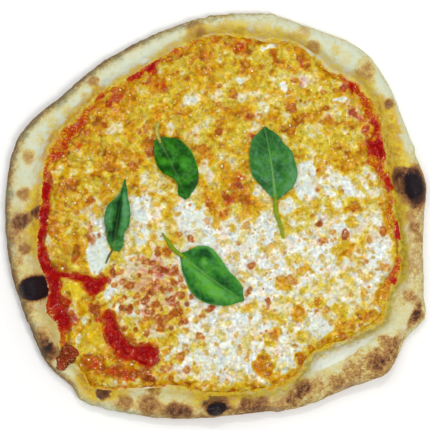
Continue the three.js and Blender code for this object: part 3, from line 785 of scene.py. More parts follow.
def gridSheet(step, insideAt, topAt, bottom):
    # a closed sheet on a square lattice, its edge drawn onto the line where insideAt is 0
    line = np.arange(-sheet["halfSpan"], sheet["halfSpan"] + step, step)
    gx, gy = np.meshgrid(line, line)
    inside = insideAt(gx.ravel(), gy.ravel()).reshape(gx.shape)
    keep = inside > sheet["kept"] * step
    cells = keep[:-1, :-1] & keep[1:, :-1] & keep[:-1, 1:] & keep[1:, 1:]
    for _ in range(sheet["rounds"]):  # cells that meet only at a corner are opened up
        pad = np.pad(cells, 1)
        a, b, c, d = pad[:-1, :-1], pad[:-1, 1:], pad[1:, :-1], pad[1:, 1:]
        pinch = (a & d & ~b & ~c) | (b & c & ~a & ~d)
        touched = pinch[:-1, :-1] | pinch[1:, :-1] | pinch[:-1, 1:] | pinch[1:, 1:]
        cells = cells & ~touched
        alone = (pad[1:-1, :-2].astype(int) + pad[1:-1, 2:] + pad[:-2, 1:-1] + pad[2:, 1:-1]) < 2
        cells = cells & ~alone
    row, column = np.nonzero(cells)
    width = len(line)
    corner = row * width + column
    quads = np.column_stack([corner, corner + 1, corner + width + 1, corner + width])
    used, quads = np.unique(quads, return_inverse=True)
    quads = quads.reshape(-1, 4)
    x, y = gx.ravel()[used], gy.ravel()[used]
    sides = np.vstack([quads[:, [k, (k + 1) % 4]] for k in range(4)])
    codes = sides[:, 0] * len(used) + sides[:, 1]
    twins = sides[:, 1] * len(used) + sides[:, 0]
    border = sides[~np.isin(codes, twins)]
    rim = np.unique(border)
    latticeX, latticeY = x.copy(), y.copy()
    reachOut = sheet["probe"]
    for _ in range(sheet["rounds"]):  # edge points move to the outline
        px, py = x[rim], y[rim]
        here = insideAt(px, py)
        slopeX = (insideAt(px + reachOut, py) - insideAt(px - reachOut, py)) / (2 * reachOut)
        slopeY = (insideAt(px, py + reachOut) - insideAt(px, py - reachOut)) / (2 * reachOut)
        size = np.maximum(slopeX**2 + slopeY**2, sheet["gentlest"])
        move = np.clip(here, -step, step)
        x[rim], y[rim] = px - move * slopeX / size, py - move * slopeY / size
    place = np.full(len(used), -1)
    place[rim] = len(used) + np.arange(len(rim))
    walls = np.column_stack([border[:, 1], border[:, 0], place[border[:, 0]], place[border[:, 1]]])
    index = place[border] - len(used)
    for attempt in range(1, sheet["attempts"] + 1):
        base, crossings = filledOutline(x[rim], y[rim], index.tolist())
        for crossX, crossY in crossings:  # an edge that crosses itself goes back to the lattice
            near = rim[np.hypot(x[rim] - crossX, y[rim] - crossY) < attempt * step]
            x[near], y[near] = latticeX[near], latticeY[near]
        if not crossings:
            break
    baseFaces = [[len(used) + corner for corner in reversed(face)] for face in base]
    top = np.column_stack([x, y, topAt(x, y)])
    under = np.column_stack([x[rim], y[rim], np.full(len(rim), bottom)])
    faces = quads.tolist() + walls.tolist() + baseFaces
    return np.vstack([top, under]), faces


tomatoSauce = {
    "step": 1.1,
    "lap": 2,
    # how red the bare band is, by bearing: 0 is golden oil
    "deep": [
        (0, 0.3), (10, 0.35), (20, 0.5), (28, 0.45), (40, 0.45), (50, 0.3), (60, 0.12), (92, 0.1),
        (104, 0.35), (112, 0.5), (118, 0.4), (130, 0.34), (150, 0.36), (165, 0.4), (178, 0.55), (190, 0.6),
        (205, 0.65), (214, 0.6), (220, 0.35), (230, 0.25), (245, 0.35), (262, 0.15), (290, 0.05),
        (330, 0.1), (340, 0.35), (350, 0.3),
    ],
    # and the stretches where it is deep red: x, y, along, across, turn, strength
    "reds": [
        (102, 94, 7, 4, -45, 1), (103, 76, 4, 4.5, 0, 0.9), (117, 66, 8, 6, -62, 1.1),
        (123, 51, 11, 8, -58, 1.35), (129, 41, 5, 3, -50, 0.85), (132, 25, 9, 3.5, -78, 0.85),
        (136, 7, 8, 3.5, -80, 0.8), (138, -9, 11, 3.5, -87, 0.95), (137, -35, 7.5, 3, 95, 0.6),
        (135, -49, 6, 3, 95, 0.8), (-47, 114, 10, 4.5, 35, 1), (-60, 105, 8, 4, 35, 0.75),
        (-87, 90, 6, 4.5, 30, 0.62), (-77, 96, 9, 6, 35, 0.42), (-95, 78, 9, 7, 40, 0.45),
        (-105, 66, 9, 7, 50, 0.48), (-112, 55, 7, 5, 50, 0.5), (-119, 46, 7, 4.5, 50, 0.62),
        (-125, 34, 8, 4.5, 80, 0.7), (-127, 18, 10, 4.5, 85, 1), (-128, 0, 11, 6, 90, 1.4),
        (-130, -15, 10, 6, 95, 1.1), (-132, -25, 7, 6, 95, 1), (-129, -35, 9, 8, -60, 1.1),
        (-122, -48, 11, 7.5, -70, 1.1), (-120, -63, 10.5, 9, -80, 1.1), (-114, -76, 11, 9, -60, 1.1),
        (-108, -83, 7, 6, -30, 1),
    ],
    "lumps": [(6, 0.28), (2.6, 0.2)],
}


def flankAt(x, y):
    # height of the dough's inner slope, which starts where the topping ends
    angle, reach = np.arctan2(y, x), np.hypot(x, y)
    inner = toppingReach(angle)
    rise = flankRise((reach - inner) / (rimWidth(angle) * crestShare(angle)))
    return dough["bed"] + (rimHeight(angle) - dough["bed"]) * rise + moundsAt(x, y, dough["blisters"])


def sauceInside(x, y):
    # the sauce laps a little way up the dough
    angle = np.arctan2(y, x)
    frayed = 1.3 * grain(flat3(x, y), 9, 53, 2)
    return toppingReach(angle) + tomatoSauce["lap"] + frayed - np.hypot(x, y)


def gapDistance(x, y):
    # distance to the nearest gap in the cheese, negative inside it
    nearest = np.full_like(x, 1e3)
    for chain in topping["gaps"]:
        for (ax, ay, ar), (bx, by, br) in zip(chain, chain[1:]):
            dx, dy = bx - ax, by - ay
            s = np.clip(((x - ax) * dx + (y - ay) * dy) / (dx * dx + dy * dy), 0, 1)
            away = np.hypot(x - ax - s * dx, y - ay - s * dy) - (ar + (br - ar) * s)
            nearest = np.minimum(nearest, away)
    return nearest


def cheeseInside(x, y):
    angle = np.arctan2(y, x)
    ragged = 0.6 * grain(flat3(x, y), 9, 51) + 0.4 * grain(flat3(x, y), 4, 52)
    outline = cheeseReach(angle) - np.hypot(x, y) + (ragged + 0.25) * raggedEdge(angle)
    return np.minimum(outline, gapDistance(x, y) + ragged)


# how ragged the cheese's edge is, by bearing
raggedEdge = roundTheRim([
    (0, 2), (30, 2.5), (60, 1.8), (95, 2), (110, 4), (125, 5), (150, 6), (165, 5), (180, 3),
    (200, 2), (225, 2), (270, 1.6), (320, 1.2),
])


def bareCheeseTop(x, y):
    # the plain melted surface, as the solid has it
    inFromEdge = cheeseReach(np.arctan2(y, x)) - np.hypot(x, y)
    s = np.clip(inFromEdge / topping["edgeRound"], 0, 1)
    turn = fullTurn / topping["swellLength"]
    wave = np.sin(x * turn + 1.3) * np.cos(y * turn) + np.sin((x + y) * turn / 1.7)
    full = topping["cheeseThick"] + topping["swell"] * 0.5 * wave + moundsAt(x, y, topping["pools"])
    thin = topping["cheeseEdge"]
    return topping["cheeseBottom"] + thin + (full - thin) * np.sqrt(s * (2 - s))


def deepAt(x, y):
    # how deep red the sauce is: in the gaps, along the named stretches, else by bearing
    byBearing = atBearing(tomatoSauce["deep"], np.arctan2(y, x))
    stretches = coverOf(*wandered(x, y, 2.2, 8, 66), tomatoSauce["reds"], 0.8)
    return np.where(gapDistance(x, y) < 4, 1, np.maximum(byBearing, stretches))


def crushedTomato():
    recipe = Recipe("crushedTomato")
    fine, small = recipe.noise(2.2, 1), recipe.noise(4.6, 1, offset=0.13)
    patch, deep = recipe.noise(8, 2, offset=0.29), recipe.field("deep")
    streak = recipe.noise(3, 3, offset=0.61, swirl=1.2)
    share = deep + sway((patch, 0.9), (streak, 1.2), (fine, 0.4))
    colour = recipe.ramp(
        share, (0, 204, 176, 34), (0.14, 200, 150, 14), (0.3, 192, 112, 14), (0.44, 180, 70, 8),
        (0.62, 172, 34, 2), (0.82, 160, 8, 4), (1, 138, 4, 6))
    scorched = (1 - (streak - 0.5) * (streak - 0.5) * 500).atLeast(0) * (1 - deep.over(0.5, 0.8))
    colour = recipe.tinted(colour, scorched * 0.5, 118, 50, 6)
    pulp = (small * 0.6 + patch * 0.4 + (fine - 0.5) * 0.3).over(0.5, 0.6) * deep.over(0.5, 0.9)
    colour = recipe.tinted(colour, pulp * 0.45, 196, 44, 14)
    # painted glints: pale pinkish streaks where the sauce is not deep red
    paleGlint = (streak + (fine - 0.5) * 0.5).over(0.58, 0.68) * (1 - deep.over(0.55, 0.85))
    colour = recipe.tinted(colour, paleGlint * 0.5, 226, 178, 104)
    bareDough, *_ = doughTints(recipe, recipe.field("toast"), 0, recipe.field("flour"))
    thin = recipe.field("film") + sway((small, 1.2), (patch, 1), (fine, 0.5))
    colour = recipe.mix(thin.over(0.25, 0.8), colour, bareDough)
    skin = recipe.bumps((small, 1, 0.7), (fine, 0.3, 0.6))
    wet = (streak * 0.5 + small * 0.5).over(0.52, 0.6) * (1 - recipe.field("film"))
    return recipe.finish(
        colour=colour, rough=0.15 + recipe.field("film") * 0.4, normal=skin, specular=0.07,
        coat=wet * 0.8, coatRough=0.08)


def sauceTopAt(x, y):
    spot = flat3(x, y)
    covered = easeIn(np.minimum(cheeseInside(x, y), 3), -0.5, 1.5)
    bumps = lumpsAt(spot, tomatoSauce["lumps"], 61) * easeIn(-cheeseInside(x, y), 0, 1.5)
    top = topping["sauceTop"] + (0.25 + bumps) * (1 - covered) - 0.15 * covered
    for lumpX, lumpY, radius, height in topping["lumps"]:
        inside = np.maximum(0, 1 - ((x - lumpX) ** 2 + (y - lumpY) ** 2) / radius**2)
        top = top + height * np.sqrt(inside) * (1 + 0.25 * grain(spot, 3, 63))
    flank = flankAt(x, y)
    dry = softMax(flank, topping["sauceTop"] - 0.1, crumb["fillet"])
    wet = softMax(flank, top, crumb["fillet"])
    inside = sauceInside(x, y)
    return np.where(inside < 4, dry - 0.8 + (wet + 0.8 - dry) * easeIn(inside, 0, 2.8), wet)


saucePoints, sauceFaces = gridSheet(
    tomatoSauce["step"], sauceInside, sauceTopAt, topping["sauceBottom"])
x, y = saucePoints[:, 0], saucePoints[:, 1]
deep = deepAt(x, y)
bareness = easeIn(-cheeseInside(x, y), -0.6, 2)
spread = np.arctan2(y, x)
oil, olive = oilAndOlive(x, y)
soak = atBearing(crumb["soak"], spread)
margin = 1 - easeIn(sauceInside(x, y) + 1.2 * grain(flat3(x, y), 7, 64, 2), 1.5, 4.5)
filmReach = 5.5 - 4 * easeIn(deep, 0.2, 0.8)
film = 1 - easeIn(sauceInside(x, y) + 1.2 * grain(flat3(x, y), 5, 65, 2), 0.6, filmReach)
deep = deep * (0.75 + 0.25 * bareness) - 0.25 * margin * soak
saucePiece = makePiece(
    "tomatoSauce", saucePoints, sauceFaces, "sauce",
    {"deep": deep, "film": film, "oil": oil, "olive": olive, "flour": flourAt(x, y),
     "toast": atBearing(crumb["wholeToast"], spread)},
    crushedTomato())


mozzarella = {
    "step": 0.76,
    "sunk": 0.45,  # how far its underside sinks into the sauce
    "edgeRoll": 4.5,  # how far in its edge is rounded
    "pits": 1100,
    "pitSeed": 11,
    "pitSpan": 290,  # the square that they are drawn in
    "pitSizes": (0.8, 2),
    "pitReach": 2.6,  # how far a pit is felt, in radii
    "pitDepth": (0.22, 0.55),  # in radii, and at most in mm
    "curdInMiddle": 2.4,  # pits wider than this have a curd in the middle
    "relief": [(6.5, 0.45), (3.2, 0.34)],
    # gold and white are drawn apart: a milk value, the one it becomes, and the gain about it
    "contrast": (0.56, 0.5, 1.15),
    # how milky each part is, the broad ones first: x, y, along, across, turn, milk, weight;
    # 0 is orange brown, 0.3 golden, 0.5 pale yellow, 0.7 cream and 1 white
    "zones": [
        (-48, 94, 60, 34, 35, 0.38, 0.9), (34, 98, 71, 37.5, -8, 0.42, 0.9),
        (90, 60, 37.5, 28.5, -50, 0.42, 0.85), (-93, 42, 36, 28.5, 50, 0.33, 0.95),
        (-116, -15, 13.5, 37.5, 0, 0.3, 0.9), (19, -41, 71, 45, 0, 0.9, 0.9),
        (98, -37, 45, 52.5, 0, 0.88, 0.85), (15, -101, 64, 31.5, 8, 0.96, 0.9),
        (-48, -57, 37.5, 34.5, 0, 0.78, 0.95), (-87, -97, 25.5, 33, 0, 0.27, 0.95),
        (-56, -5, 37.5, 24, 0, 0.8, 0.9), (8, 49, 30, 30, 0, 0.42, 0.7), (-7, 124, 30, 9, 20, 0.3, 0.8),
        (53, 120, 22.5, 9, -12, 0.38, 0.7), (-11, 109, 13.5, 8, 0, 0.36, 1),
        (19, 127, 12, 7.5, -15, 0.05, 0.9), (43, 120, 9, 4, 5, 0.15, 0.9), (40, 127, 6, 4, 0, 0.9, 0.8),
        (22, 115, 4.5, 4, 0, 0.15, 0.9), (37, 100, 8, 11, 0, 0.6, 0.9), (21, 102, 4.5, 4, 0, 0.8, 0.8),
        (51, 97, 6, 5, 0, 0.95, 0.9), (66, 115, 6, 7.5, 20, 0.05, 0.95), (63, 109, 4.5, 3, 0, 0.7, 0.7),
        (68, 102, 10.5, 7, -35, 0.85, 0.7), (75, 96, 5, 4.5, 0, 0.8, 0.9), (69, 85, 10.5, 9, 0, 0.4, 0.95),
        (58, 69, 13, 10, 10, 0.28, 1), (36, 87, 12, 10.5, 0, 0.65, 0.8), (13, 78, 10.5, 7.5, 0, 0.38, 0.9),
        (8, 93, 10.5, 7.5, 0, 0.5, 0.8), (-17, 88, 8, 6, 0, 0.64, 1), (-35, 88, 5, 6, 0, 0.6, 0.8),
        (-39, 97, 5, 6, 0, -0.15, 0.8), (-33, 105, 6, 4.5, 0, 0.2, 0.8), (-43, 109, 4.5, 3, 30, 0.75, 0.9),
        (-22, 73, 10, 6, 0, 0.25, 0.9), (-7, 73, 7.5, 6, 0, 0.6, 0.8), (-47, 79, 6, 5, 0, 0.55, 0.8),
        (-48, 70, 5, 4.5, 0, 0.25, 0.8), (-60, 78, 5, 5, 0, 0.38, 0.8), (-66, 75, 4, 4, 0, 0.74, 0.9),
        (-75, 61, 7, 10, -20, 0.66, 1), (-56, 68, 7, 6, 0, 0.6, 0.8), (-51, 63, 3, 4, 0, 0.8, 0.9),
        (-32, 66, 4.5, 4, 0, 0.74, 0.9), (-18, 64, 9, 6, 0, 0.5, 0.8), (-54, 56, 6, 4.5, 0, 0.22, 0.7),
        (-92, 60, 10, 9, 40, 0.24, 0.95), (-101, 45, 10.5, 7, 0, 0.32, 0.9), (-83, 45, 10, 6, 0, 0.35, 0.8),
        (-95, 37, 6, 5, 0, 0.7, 0.9), (-105, 33, 6, 4.5, 0, 0.62, 0.8), (-118, 33, 4.5, 6, 0, 0.62, 0.8),
        (-111, 23, 9, 6, 0, 0.15, 0.9), (-71, 38, 5, 4, -30, 0.8, 0.8), (-80, 36, 6, 5, 0, 0.15, 0.8),
        (-92, 23, 8, 7, 0, 0.5, 0.8), (-80, 23, 7.5, 7, 0, 0.28, 0.8), (-90, 6, 6, 7.5, 0, 0.74, 0.9),
        (-54, 42, 7.5, 6, 0, 0.5, 0.7), (-41, 21, 15, 8, -12, 0.6, 0.95), (-54, 12, 8, 5, 0, 0.95, 0.95),
        (-61, 19, 4.5, 5, 0, 0.3, 0.8), (-54, 20, 4.5, 2, 0, 0.35, 0.8), (-7, 33, 5, 13, 8, 0.78, 1),
        (0, 42, 7.5, 10.5, 0, 0.4, 0.9), (9, 44, 7.5, 6, 0, 0.55, 0.9), (19, 38, 9, 8, 0, 0.38, 0.95),
        (79, 63, 16.5, 9, -15, 0.6, 0.8), (93, 57, 15, 10.5, 0, 0.45, 0.8), (89, 45, 6, 4.5, 0, 0.33, 0.9),
        (103, 49, 6, 5, 0, 0.6, 0.8), (69, 27, 11, 16.5, 0, 1.2, 1), (88, 27, 13, 10.5, 0, 0.85, 0.9),
        (54, 7, 5, 9, 0, 0.92, 0.9), (31, 19, 5, 6, 0, 0.8, 0.9), (36, 8, 7, 4, 0, 0.5, 0.7),
        (106, 22, 13, 10.5, 0, 0.78, 0.9), (120, 18, 5, 5, 0, 0.85, 0.9), (103, 6, 10, 4.5, 0, 0.22, 0.95),
        (90, 6, 6, 4, 0, 0.42, 0.9), (118, 33, 7.5, 7, 0, 0.75, 0.8), (94, 88, 7, 3, 15, 0.85, 0.9),
        (118, 8, 7, 5, 0, 0.6, 0.7), (-15, -5, 18, 10.5, 0, 1.25, 1), (-24, 7, 9, 6, 0, 0.8, 0.9),
        (-7, -18, 10.5, 6, 0, 1.15, 1), (-57, -2, 7, 8, 0, 0.92, 0.95), (-50, -15, 12, 7.5, 0, 0.68, 0.8),
        (-37, -2, 7, 7.5, 0, 0.62, 0.8), (-87, -28, 10.5, 20, 0, 1.2, 1), (-87, -5, 9, 7, 0, 0.85, 0.9),
        (-63, -35, 10.5, 7, 0, 0.85, 0.9), (-108, 1, 11, 7.5, 0, 0.5, 0.9),
        (-114, -18, 9, 10.5, 0, 0.38, 0.9), (-116, -32, 8, 9, 0, 0.34, 0.9),
        (-105, -29, 4, 9, 0, -0.05, 0.85), (-125, -18, 4, 4.5, 0, 0.6, 0.7), (-80, -57, 7, 7, 0, 0.9, 1),
        (-72, -71, 4.5, 6, 0, 0.85, 0.9), (-62, -39, 6, 4.5, 0, 0.8, 0.7), (-76, -87, 4.5, 6, 0, 0.8, 0.8),
        (-90, -65, 6, 7, 0, -0.05, 0.9), (-86, -77, 5, 4.5, 0, -0.05, 0.8),
        (-96, -77, 4.5, 4.5, 0, 0.6, 0.8), (-93, -90, 9, 10, 0, 0.4, 1), (-93, -101, 8, 4.5, 0, 0.3, 0.9),
        (-92, -111, 11, 7.5, 0, -0.15, 1), (-72, -117, 13.5, 7, 0, -0.25, 0.95),
        (-71, -129, 9, 4, 0, 0.25, 0.8), (-105, -90, 6, 7, 0, 0.75, 0.9), (-36, -95, 7.5, 7, 0, 0.45, 0.6),
        (-51, -80, 7, 6, 0, 0.42, 0.5), (-22, -128, 15, 4.5, -12, 0.2, 0.95),
        (-35, -119, 7, 4.5, 0, 0.3, 0.7), (-7, -78, 16.5, 10.5, 0, 0.92, 0.95),
        (-11, -105, 15, 12, 0, 0.86, 0.9), (10, -110, 18, 15, 0, 0.92, 0.95),
        (-2, -126, 12, 5, 0, 0.66, 0.8), (-7, -134, 12, 4, 0, 0.3, 0.9), (23, -26, 10.5, 16.5, 0, 1.1, 0.9),
        (40, -7, 9, 12, 0, 0.98, 0.9), (58, -7, 7.5, 4.5, 0, 0.6, 0.8), (66, -22, 16.5, 12, 0, 0.95, 0.95),
        (39, -50, 10.5, 9, 0, 1, 0.8), (53, -51, 10.5, 4.5, 15, 0.45, 0.8), (64, -42, 7, 4.5, 0, 0.45, 0.8),
        (63, -62, 12, 6, 0, 0.78, 0.8), (96, -25, 10, 8, 0, 0.3, 1), (89, -37, 9, 4.5, 0, 0.85, 0.8),
        (87, -51, 7, 6, 0, 0.6, 0.8), (99, -47, 6, 5, 0, 0.5, 0.8), (109, -54, 10.5, 7.5, 0, 0.85, 0.9),
        (120, -51, 4.5, 5, 0, 1, 0.9), (111, -18, 9, 10.5, 0, 0.68, 0.8), (129, -22, 6, 15, 0, 0.5, 0.8),
        (130, -7, 5, 7.5, 0, 0.7, 0.8), (78, -84, 13.5, 11, 0, 0.92, 1), (62, -74, 6, 7, 0, 0.3, 0.9),
        (49, -80, 7.5, 7, 0, 0.9, 0.8), (30, -67, 9, 7, 0, 0.66, 0.8), (19, -77, 9, 7.5, 0, 0.92, 0.8),
        (42, -90, 8, 9, 0, 0.4, 0.9), (66, -92, 6, 6, 0, 0.42, 0.9), (23, -93, 6, 6, 0, 0.6, 0.7),
        (37, -113, 9, 11, 0, 0.3, 1), (54, -102, 10.5, 7.5, 30, 0.98, 1), (53, -116, 7.5, 4.5, 0, 0.7, 0.8),
        (78, -66, 6, 4.5, 0, 0.55, 0.8), (92, -67, 6, 6, 0, 0.5, 0.7), (100, -84, 11, 7, 20, 0.26, 0.95),
        (114, -75, 10.5, 6, 0, 0.2, 0.95), (128, -67, 5, 6, 0, 0.55, 0.7), (135, -54, 3, 6, 0, 0.1, 0.8),
        (64, -108, 6, 6, 40, 0.18, 0.9), (81, -97, 7.5, 4.5, 30, 0.22, 0.9),
        (27, -63, 4.5, 4.5, 0, 0.92, 0.7), (87, 0, 9, 4.5, 0, 0.5, 0.7), (102, -5, 7.5, 4.5, 0, 0.5, 0.7),
        (81, 25, 16.5, 13.5, 0, 0.92, 0.75), (57, 78, 10.5, 7.5, 0, 0.5, 0.8), (42, -35, 11, 15, 0, 1, 0.9),
        (45, -2, 6, 6, 0, 0.85, 0.8), (-71, -33, 6, 6, 0, 0.72, 0.7), (-39, -12, 6, 6, 0, 0.66, 0.8),
        # (-50, 7) and (-27, 6) on the row below are painted shadow under the upper left leaf
        (-29, -107, 7, 7, 0, 0.6, 0.8), (-50, 7, 5, 5, 0, 0.66, 0.8), (-27, 6, 6, 5, 0, 0.6, 0.8),
        (90, 3, 11, 4.5, 0, 0.5, 0.8), (76, -75, 7.5, 7, 0, 1, 0.8), (-8, -96, 6, 6, 0, 0.72, 0.7),
        (120, -32, 12, 25.5, 0, 0.92, 0.8), (133, -18, 5, 19.5, -4, 0.8, 0.7),
        (87, 73, 12, 9, 0, 0.62, 0.7), (51, 73, 7, 6, 0, 0.6, 0.7), (36, 78, 4.5, 4.5, 0, 0.5, 0.7),
        (1, 90, 6, 4.5, 0, 0.62, 0.7), (-26, 81, 7, 4.5, 30, 0.6, 0.6), (73, 49, 6, 5, 0, 0.62, 0.7),
        (6, 117, 6, 4.5, 0, 0.6, 0.7), (-24, 106, 6, 4, 30, 0.62, 0.7), (-103, -91, 5, 6, 0, 1, 0.9),
        (-106, -56, 9, 10, 0, 0.52, 1), (-100, -69, 5, 9, 0, 0.36, 1), (-113, -63, 5, 7, 0, 0.1, 0.8),
    ],
    # where sauce stains it: x, y, along, across, turn, strength
    "stains": [
        (-45, 102, 10, 15, 0, 0.52), (-83, 84, 18, 10.5, 42, 0.45), (-50, -117, 8, 7, 0, 0.6),
        (-111, -27, 7, 10.5, 0, 0.48), (-101, -35, 4.5, 4.5, 0, 0.55), (108, 73, 5, 9, 0, 0.55),
        (97, 84, 5, 5, 0, 0.4), (24, 60, 5, 4.5, 0, 0.6), (-29, -66, 9, 7.5, 0, 0.75),
        (-113, 18, 5, 9, 0, 0.42), (-72, -119, 18, 7, -8, 0.45), (-71, 85, 18, 13.5, 20, 0.42),
        (66, 100, 12, 9, -20, 0.36), (33, -113, 7.5, 9, 0, 0.45), (43, -89, 7.5, 7.5, 0, 0.42),
        (98, -26, 9, 6, 0, 0.3), (117, 54, 5, 11, 8, 1.25), (112, 66, 4.5, 6, 0, 0.9),
        (-74, 90, 8, 10.5, -20, 0.7), (-80, 84, 6, 5, 0, 0.9), (-87, 90, 5, 3, 30, 0.8),
        (-98, 77, 7, 5, 50, 0.8), (-92, 81, 6, 4, 10, 0.6), (-104, 66, 10.5, 7.5, 50, 0.68),
        (-93, 79, 10.5, 7, 42, 0.62), (-113, 51, 9, 7, 55, 0.68), (-97, 63, 5, 5, 0, 0.7),
        (-102, 55, 6, 4.5, 30, 0.7), (-116, 48, 8, 5, 45, 0.85), (-119, 39, 4.5, 7, 0, 0.6),
        (-124, 27, 4.5, 10.5, 10, 0.85), (-126, 15, 4.5, 4.5, 0, 1), (-126, 4, 4, 7.5, 0, 0.7),
        (-47, 114, 7, 4.5, 35, 1), (-60, 105, 7.5, 4.5, 30, 0.95), (-53, 100, 4.5, 3, 0, 0.7),
        (-33, 117, 7.5, 2, 15, 0.7), (-39, 96, 4.5, 5, 0, 0.45), (-42, 77, 3, 7, -20, 0.55),
        (-9, 121, 4.5, 4.5, 0, 0.55), (0, 132, 6, 4, 0, 0.5), (19, 127, 7, 6, 0, 0.6),
        (27, 130, 6, 3, -20, 0.75), (44, 120, 6, 3, 0, 0.6), (66, 116, 4.5, 6, 0, 0.5),
        (64, 102, 4, 4, 0, 0.55), (70, 105, 9, 4, -35, 0.4), (97, 96, 5, 4.5, 0, 1),
        (103, 78, 4.5, 6, -45, 0.8), (103, 77, 4.5, 4.5, 0, 1), (114, 81, 3, 4.5, 0, 0.3),
        (115, 62, 4, 4.5, 0, 0.8), (111, 53, 4.5, 5, 0, 0.6), (125, 34, 4.5, 5, 0, 0.9),
        (130, 22, 4, 6, 0, 0.8), (135, 6, 4.5, 7.5, 0, 0.9), (134, 15, 6, 9, 5, 0.7),
        (141, -11, 4, 7.5, 0, 0.8), (135, -48, 4, 7, 0, 0.6), (-10, 51, 5, 4.5, 0, 0.85),
        (17, 22, 11, 13, -10, 0.78), (18, 24, 4.5, 4.5, 0, 1.1), (10, 13, 6, 8, 0, 0.88),
        (7, 2, 7, 6, 30, 0.8), (25, 14, 3, 6, 0, 0.6), (21, 33, 4.5, 5, 0, 0.4), (28, 60, 4.5, 4, 0, 1),
        (19, 56, 6, 3, 0, 0.45), (25, 75, 4, 4, 0, 0.5), (-52, -34, 4.5, 4, 0, 0.7),
        (-39, -41, 5, 4.5, 0, 0.7), (-29, -42, 5, 4.5, 0, 0.65), (-43, -28, 4, 4, 0, 0.5),
        (-36, -28, 4.5, 3, 0, 0.5), (-64, -53, 4, 5, 0, 0.7), (-59, -60, 4, 3, 0, 0.5),
        (-52, -63, 4, 4, 0, 0.75), (-64, -69, 4, 5, 0, 0.8), (-39, -55, 4.5, 4.5, 0, 0.65),
        (-44, -66, 5, 4, 20, 0.6), (-25, -59, 7, 4, -10, 0.8), (-27, -72, 7.5, 6, 0, 0.85),
        (-35, -75, 5, 4, 0, 0.6), (-52, -77, 4, 4, 0, 0.55), (-41, -84, 4.5, 4, 0, 0.6),
        (-52, -88, 3, 3, 0, 0.6), (-62, -95, 4, 3, 0, 0.6), (-67, -84, 3, 4, 0, 0.5),
        (-48, -48, 30, 24, 0, 0.68), (-41, -72, 25.5, 16.5, 0, 0.64), (-77, -66, 2, 6, 0, 0.8),
        (-72, -42, 7, 3, 30, 0.8), (-81, -48, 5, 3, 0, 0.8), (-105, -30, 4, 10, 0, 0.4),
        (-99, -41, 4.5, 4, 0, 0.7), (-116, -35, 6, 6, 0, 0.3), (-121, -12, 4.5, 9, 0, 0.5),
        (-122, -26, 4.5, 7.5, 0, 0.4), (-91, -69, 4, 4.5, 0, 0.7), (-92, -110, 9, 6, 0, 0.6),
        (-84, -114, 3, 3, 0, 0.8), (-72, -116, 7, 5, 0, 0.7), (-64, -123, 5, 4.5, 0, 0.7),
        (-61, -118, 4, 4, 0, 1), (-86, -77, 4.5, 4, 0, 0.6), (-33, -117, 6, 4, -20, 0.45),
        (-21, -116, 4.5, 3, 0, 0.5), (43, -90, 4, 5, 0, 0.3), (-80, 36, 4, 3, 0, 0.5),
        (-81, 24, 7, 5, 0, 0.4), (-72, 21, 3, 6, 0, 0.4), (-107, 25, 5, 4, 0, 0.35),
        (-111, 12, 3, 9, 0, 0.3), (-52, 19, 4.5, 2, 0, 0.4), (-4, 9, 4.5, 4, 0, 0.6),
        (79, -5, 3, 4.5, 0, 0.4), (-3, -68, 4, 3, 0, 0.55), (111, -74, 6, 4.5, 0, 0.5),
        (-108, -77, 8, 10, 20, 1.15), (-114, -66, 7, 9, -20, 1.1),
    ],
    # smooth pools of milk or oil
    "calm": [
        (-87, -30, 10.5, 19.5, 0, 1), (69, 27, 10.5, 15, 0, 0.7), (-15, -5, 18, 9, 0, 0.7),
        (-57, 0, 7, 8, 0, 0.6), (-106, -56, 8, 10, 0, 1), (-100, -70, 4.5, 8, 0, 0.9),
        (-93, -90, 7.5, 9, 0, 0.6), (-6, -18, 10.5, 5, 0, 0.8), (78, -84, 12, 10, 0, 0.6),
        (-7, 33, 4.5, 12, 8, 0.6), (10, -108, 15, 13.5, 0, 0.3), (54, 7, 4.5, 8, 0, 0.6),
        (-80, -57, 6, 6, 0, 0.6), (27, -22, 9, 13.5, 0, 0.4),
    ],
    # browned hollows: x, y, radius, brown
    "spots": [
        # the first two are painted shadow beside the upper left leaf
        (-49, 48, 3.8, 0.9), (-48, 56, 2.6, 0.8), (-51, 66, 3, 0.6), (-48, -123, 3.8, 0.95),
        (-54, -118, 3, 0.8), (78, 34, 2.6, 0.8), (78, 21, 2.2, 0.7), (95, 18, 2.2, 0.6),
        (-83, 68, 3.4, 0.85), (-63, 79, 2.2, 0.5), (-88, 39, 2.6, 0.5), (-80, 35, 3, 0.75),
        (-69, 45, 3, 0.55), (-60, 36, 3, 0.75), (-94, 12, 3.4, 0.8), (-100, 8, 2.6, 0.45),
        (-104, 3, 2.2, 0.6), (-120, -5, 2.6, 0.7), (0, 132, 3.8, 0.7), (-18, 115, 3, 0.5),
        (-9, 120, 3, 0.8), (13, 93, 3, 0.7), (29, 96, 2.2, 0.5), (23, 115, 2.6, 0.6), (2, 71, 2.2, 0.7),
        (3, 63, 2.6, 0.85), (25, 75, 3.4, 0.85), (36, 74, 2.2, 0.3), (58, 82, 3.4, 0.8),
        (83, 81, 2.6, 0.75), (84, 73, 2.6, 0.6), (66, 75, 2.6, 0.6), (61, 102, 2.2, 0.7),
        (81, 93, 2.2, 0.5), (45, 120, 3, 0.85), (-10, 51, 3, 0.7), (18, 24, 2.6, 1), (9, 14, 2.6, 1),
        (25, 10, 3, 0.8), (-4, 10, 3, 0.7), (80, 34, 3.4, 0.45), (79, 21, 2.6, 0.35), (95, 17, 2.6, 0.35),
        (99, 36, 3, 0.6), (104, 5, 2.6, 0.75), (89, 45, 3, 0.3), (99, -13, 3, 0.85), (126, -12, 3.4, 0.75),
        (116, -18, 3, 0.5), (103, -32, 2.6, 0.3), (110, -36, 2.6, 0.3), (91, -27, 3.8, 0.3),
        (98, -22, 3.4, 0.3), (78, -6, 3, 0.9), (73, 0, 2.2, 0.7), (81, -18, 2.6, 0.7), (54, -49, 4.1, 0.5),
        (63, -42, 3.4, 0.35), (36, -43, 3, 0.15), (20, -18, 2.6, 0.15), (6, -21, 2.2, 0.15),
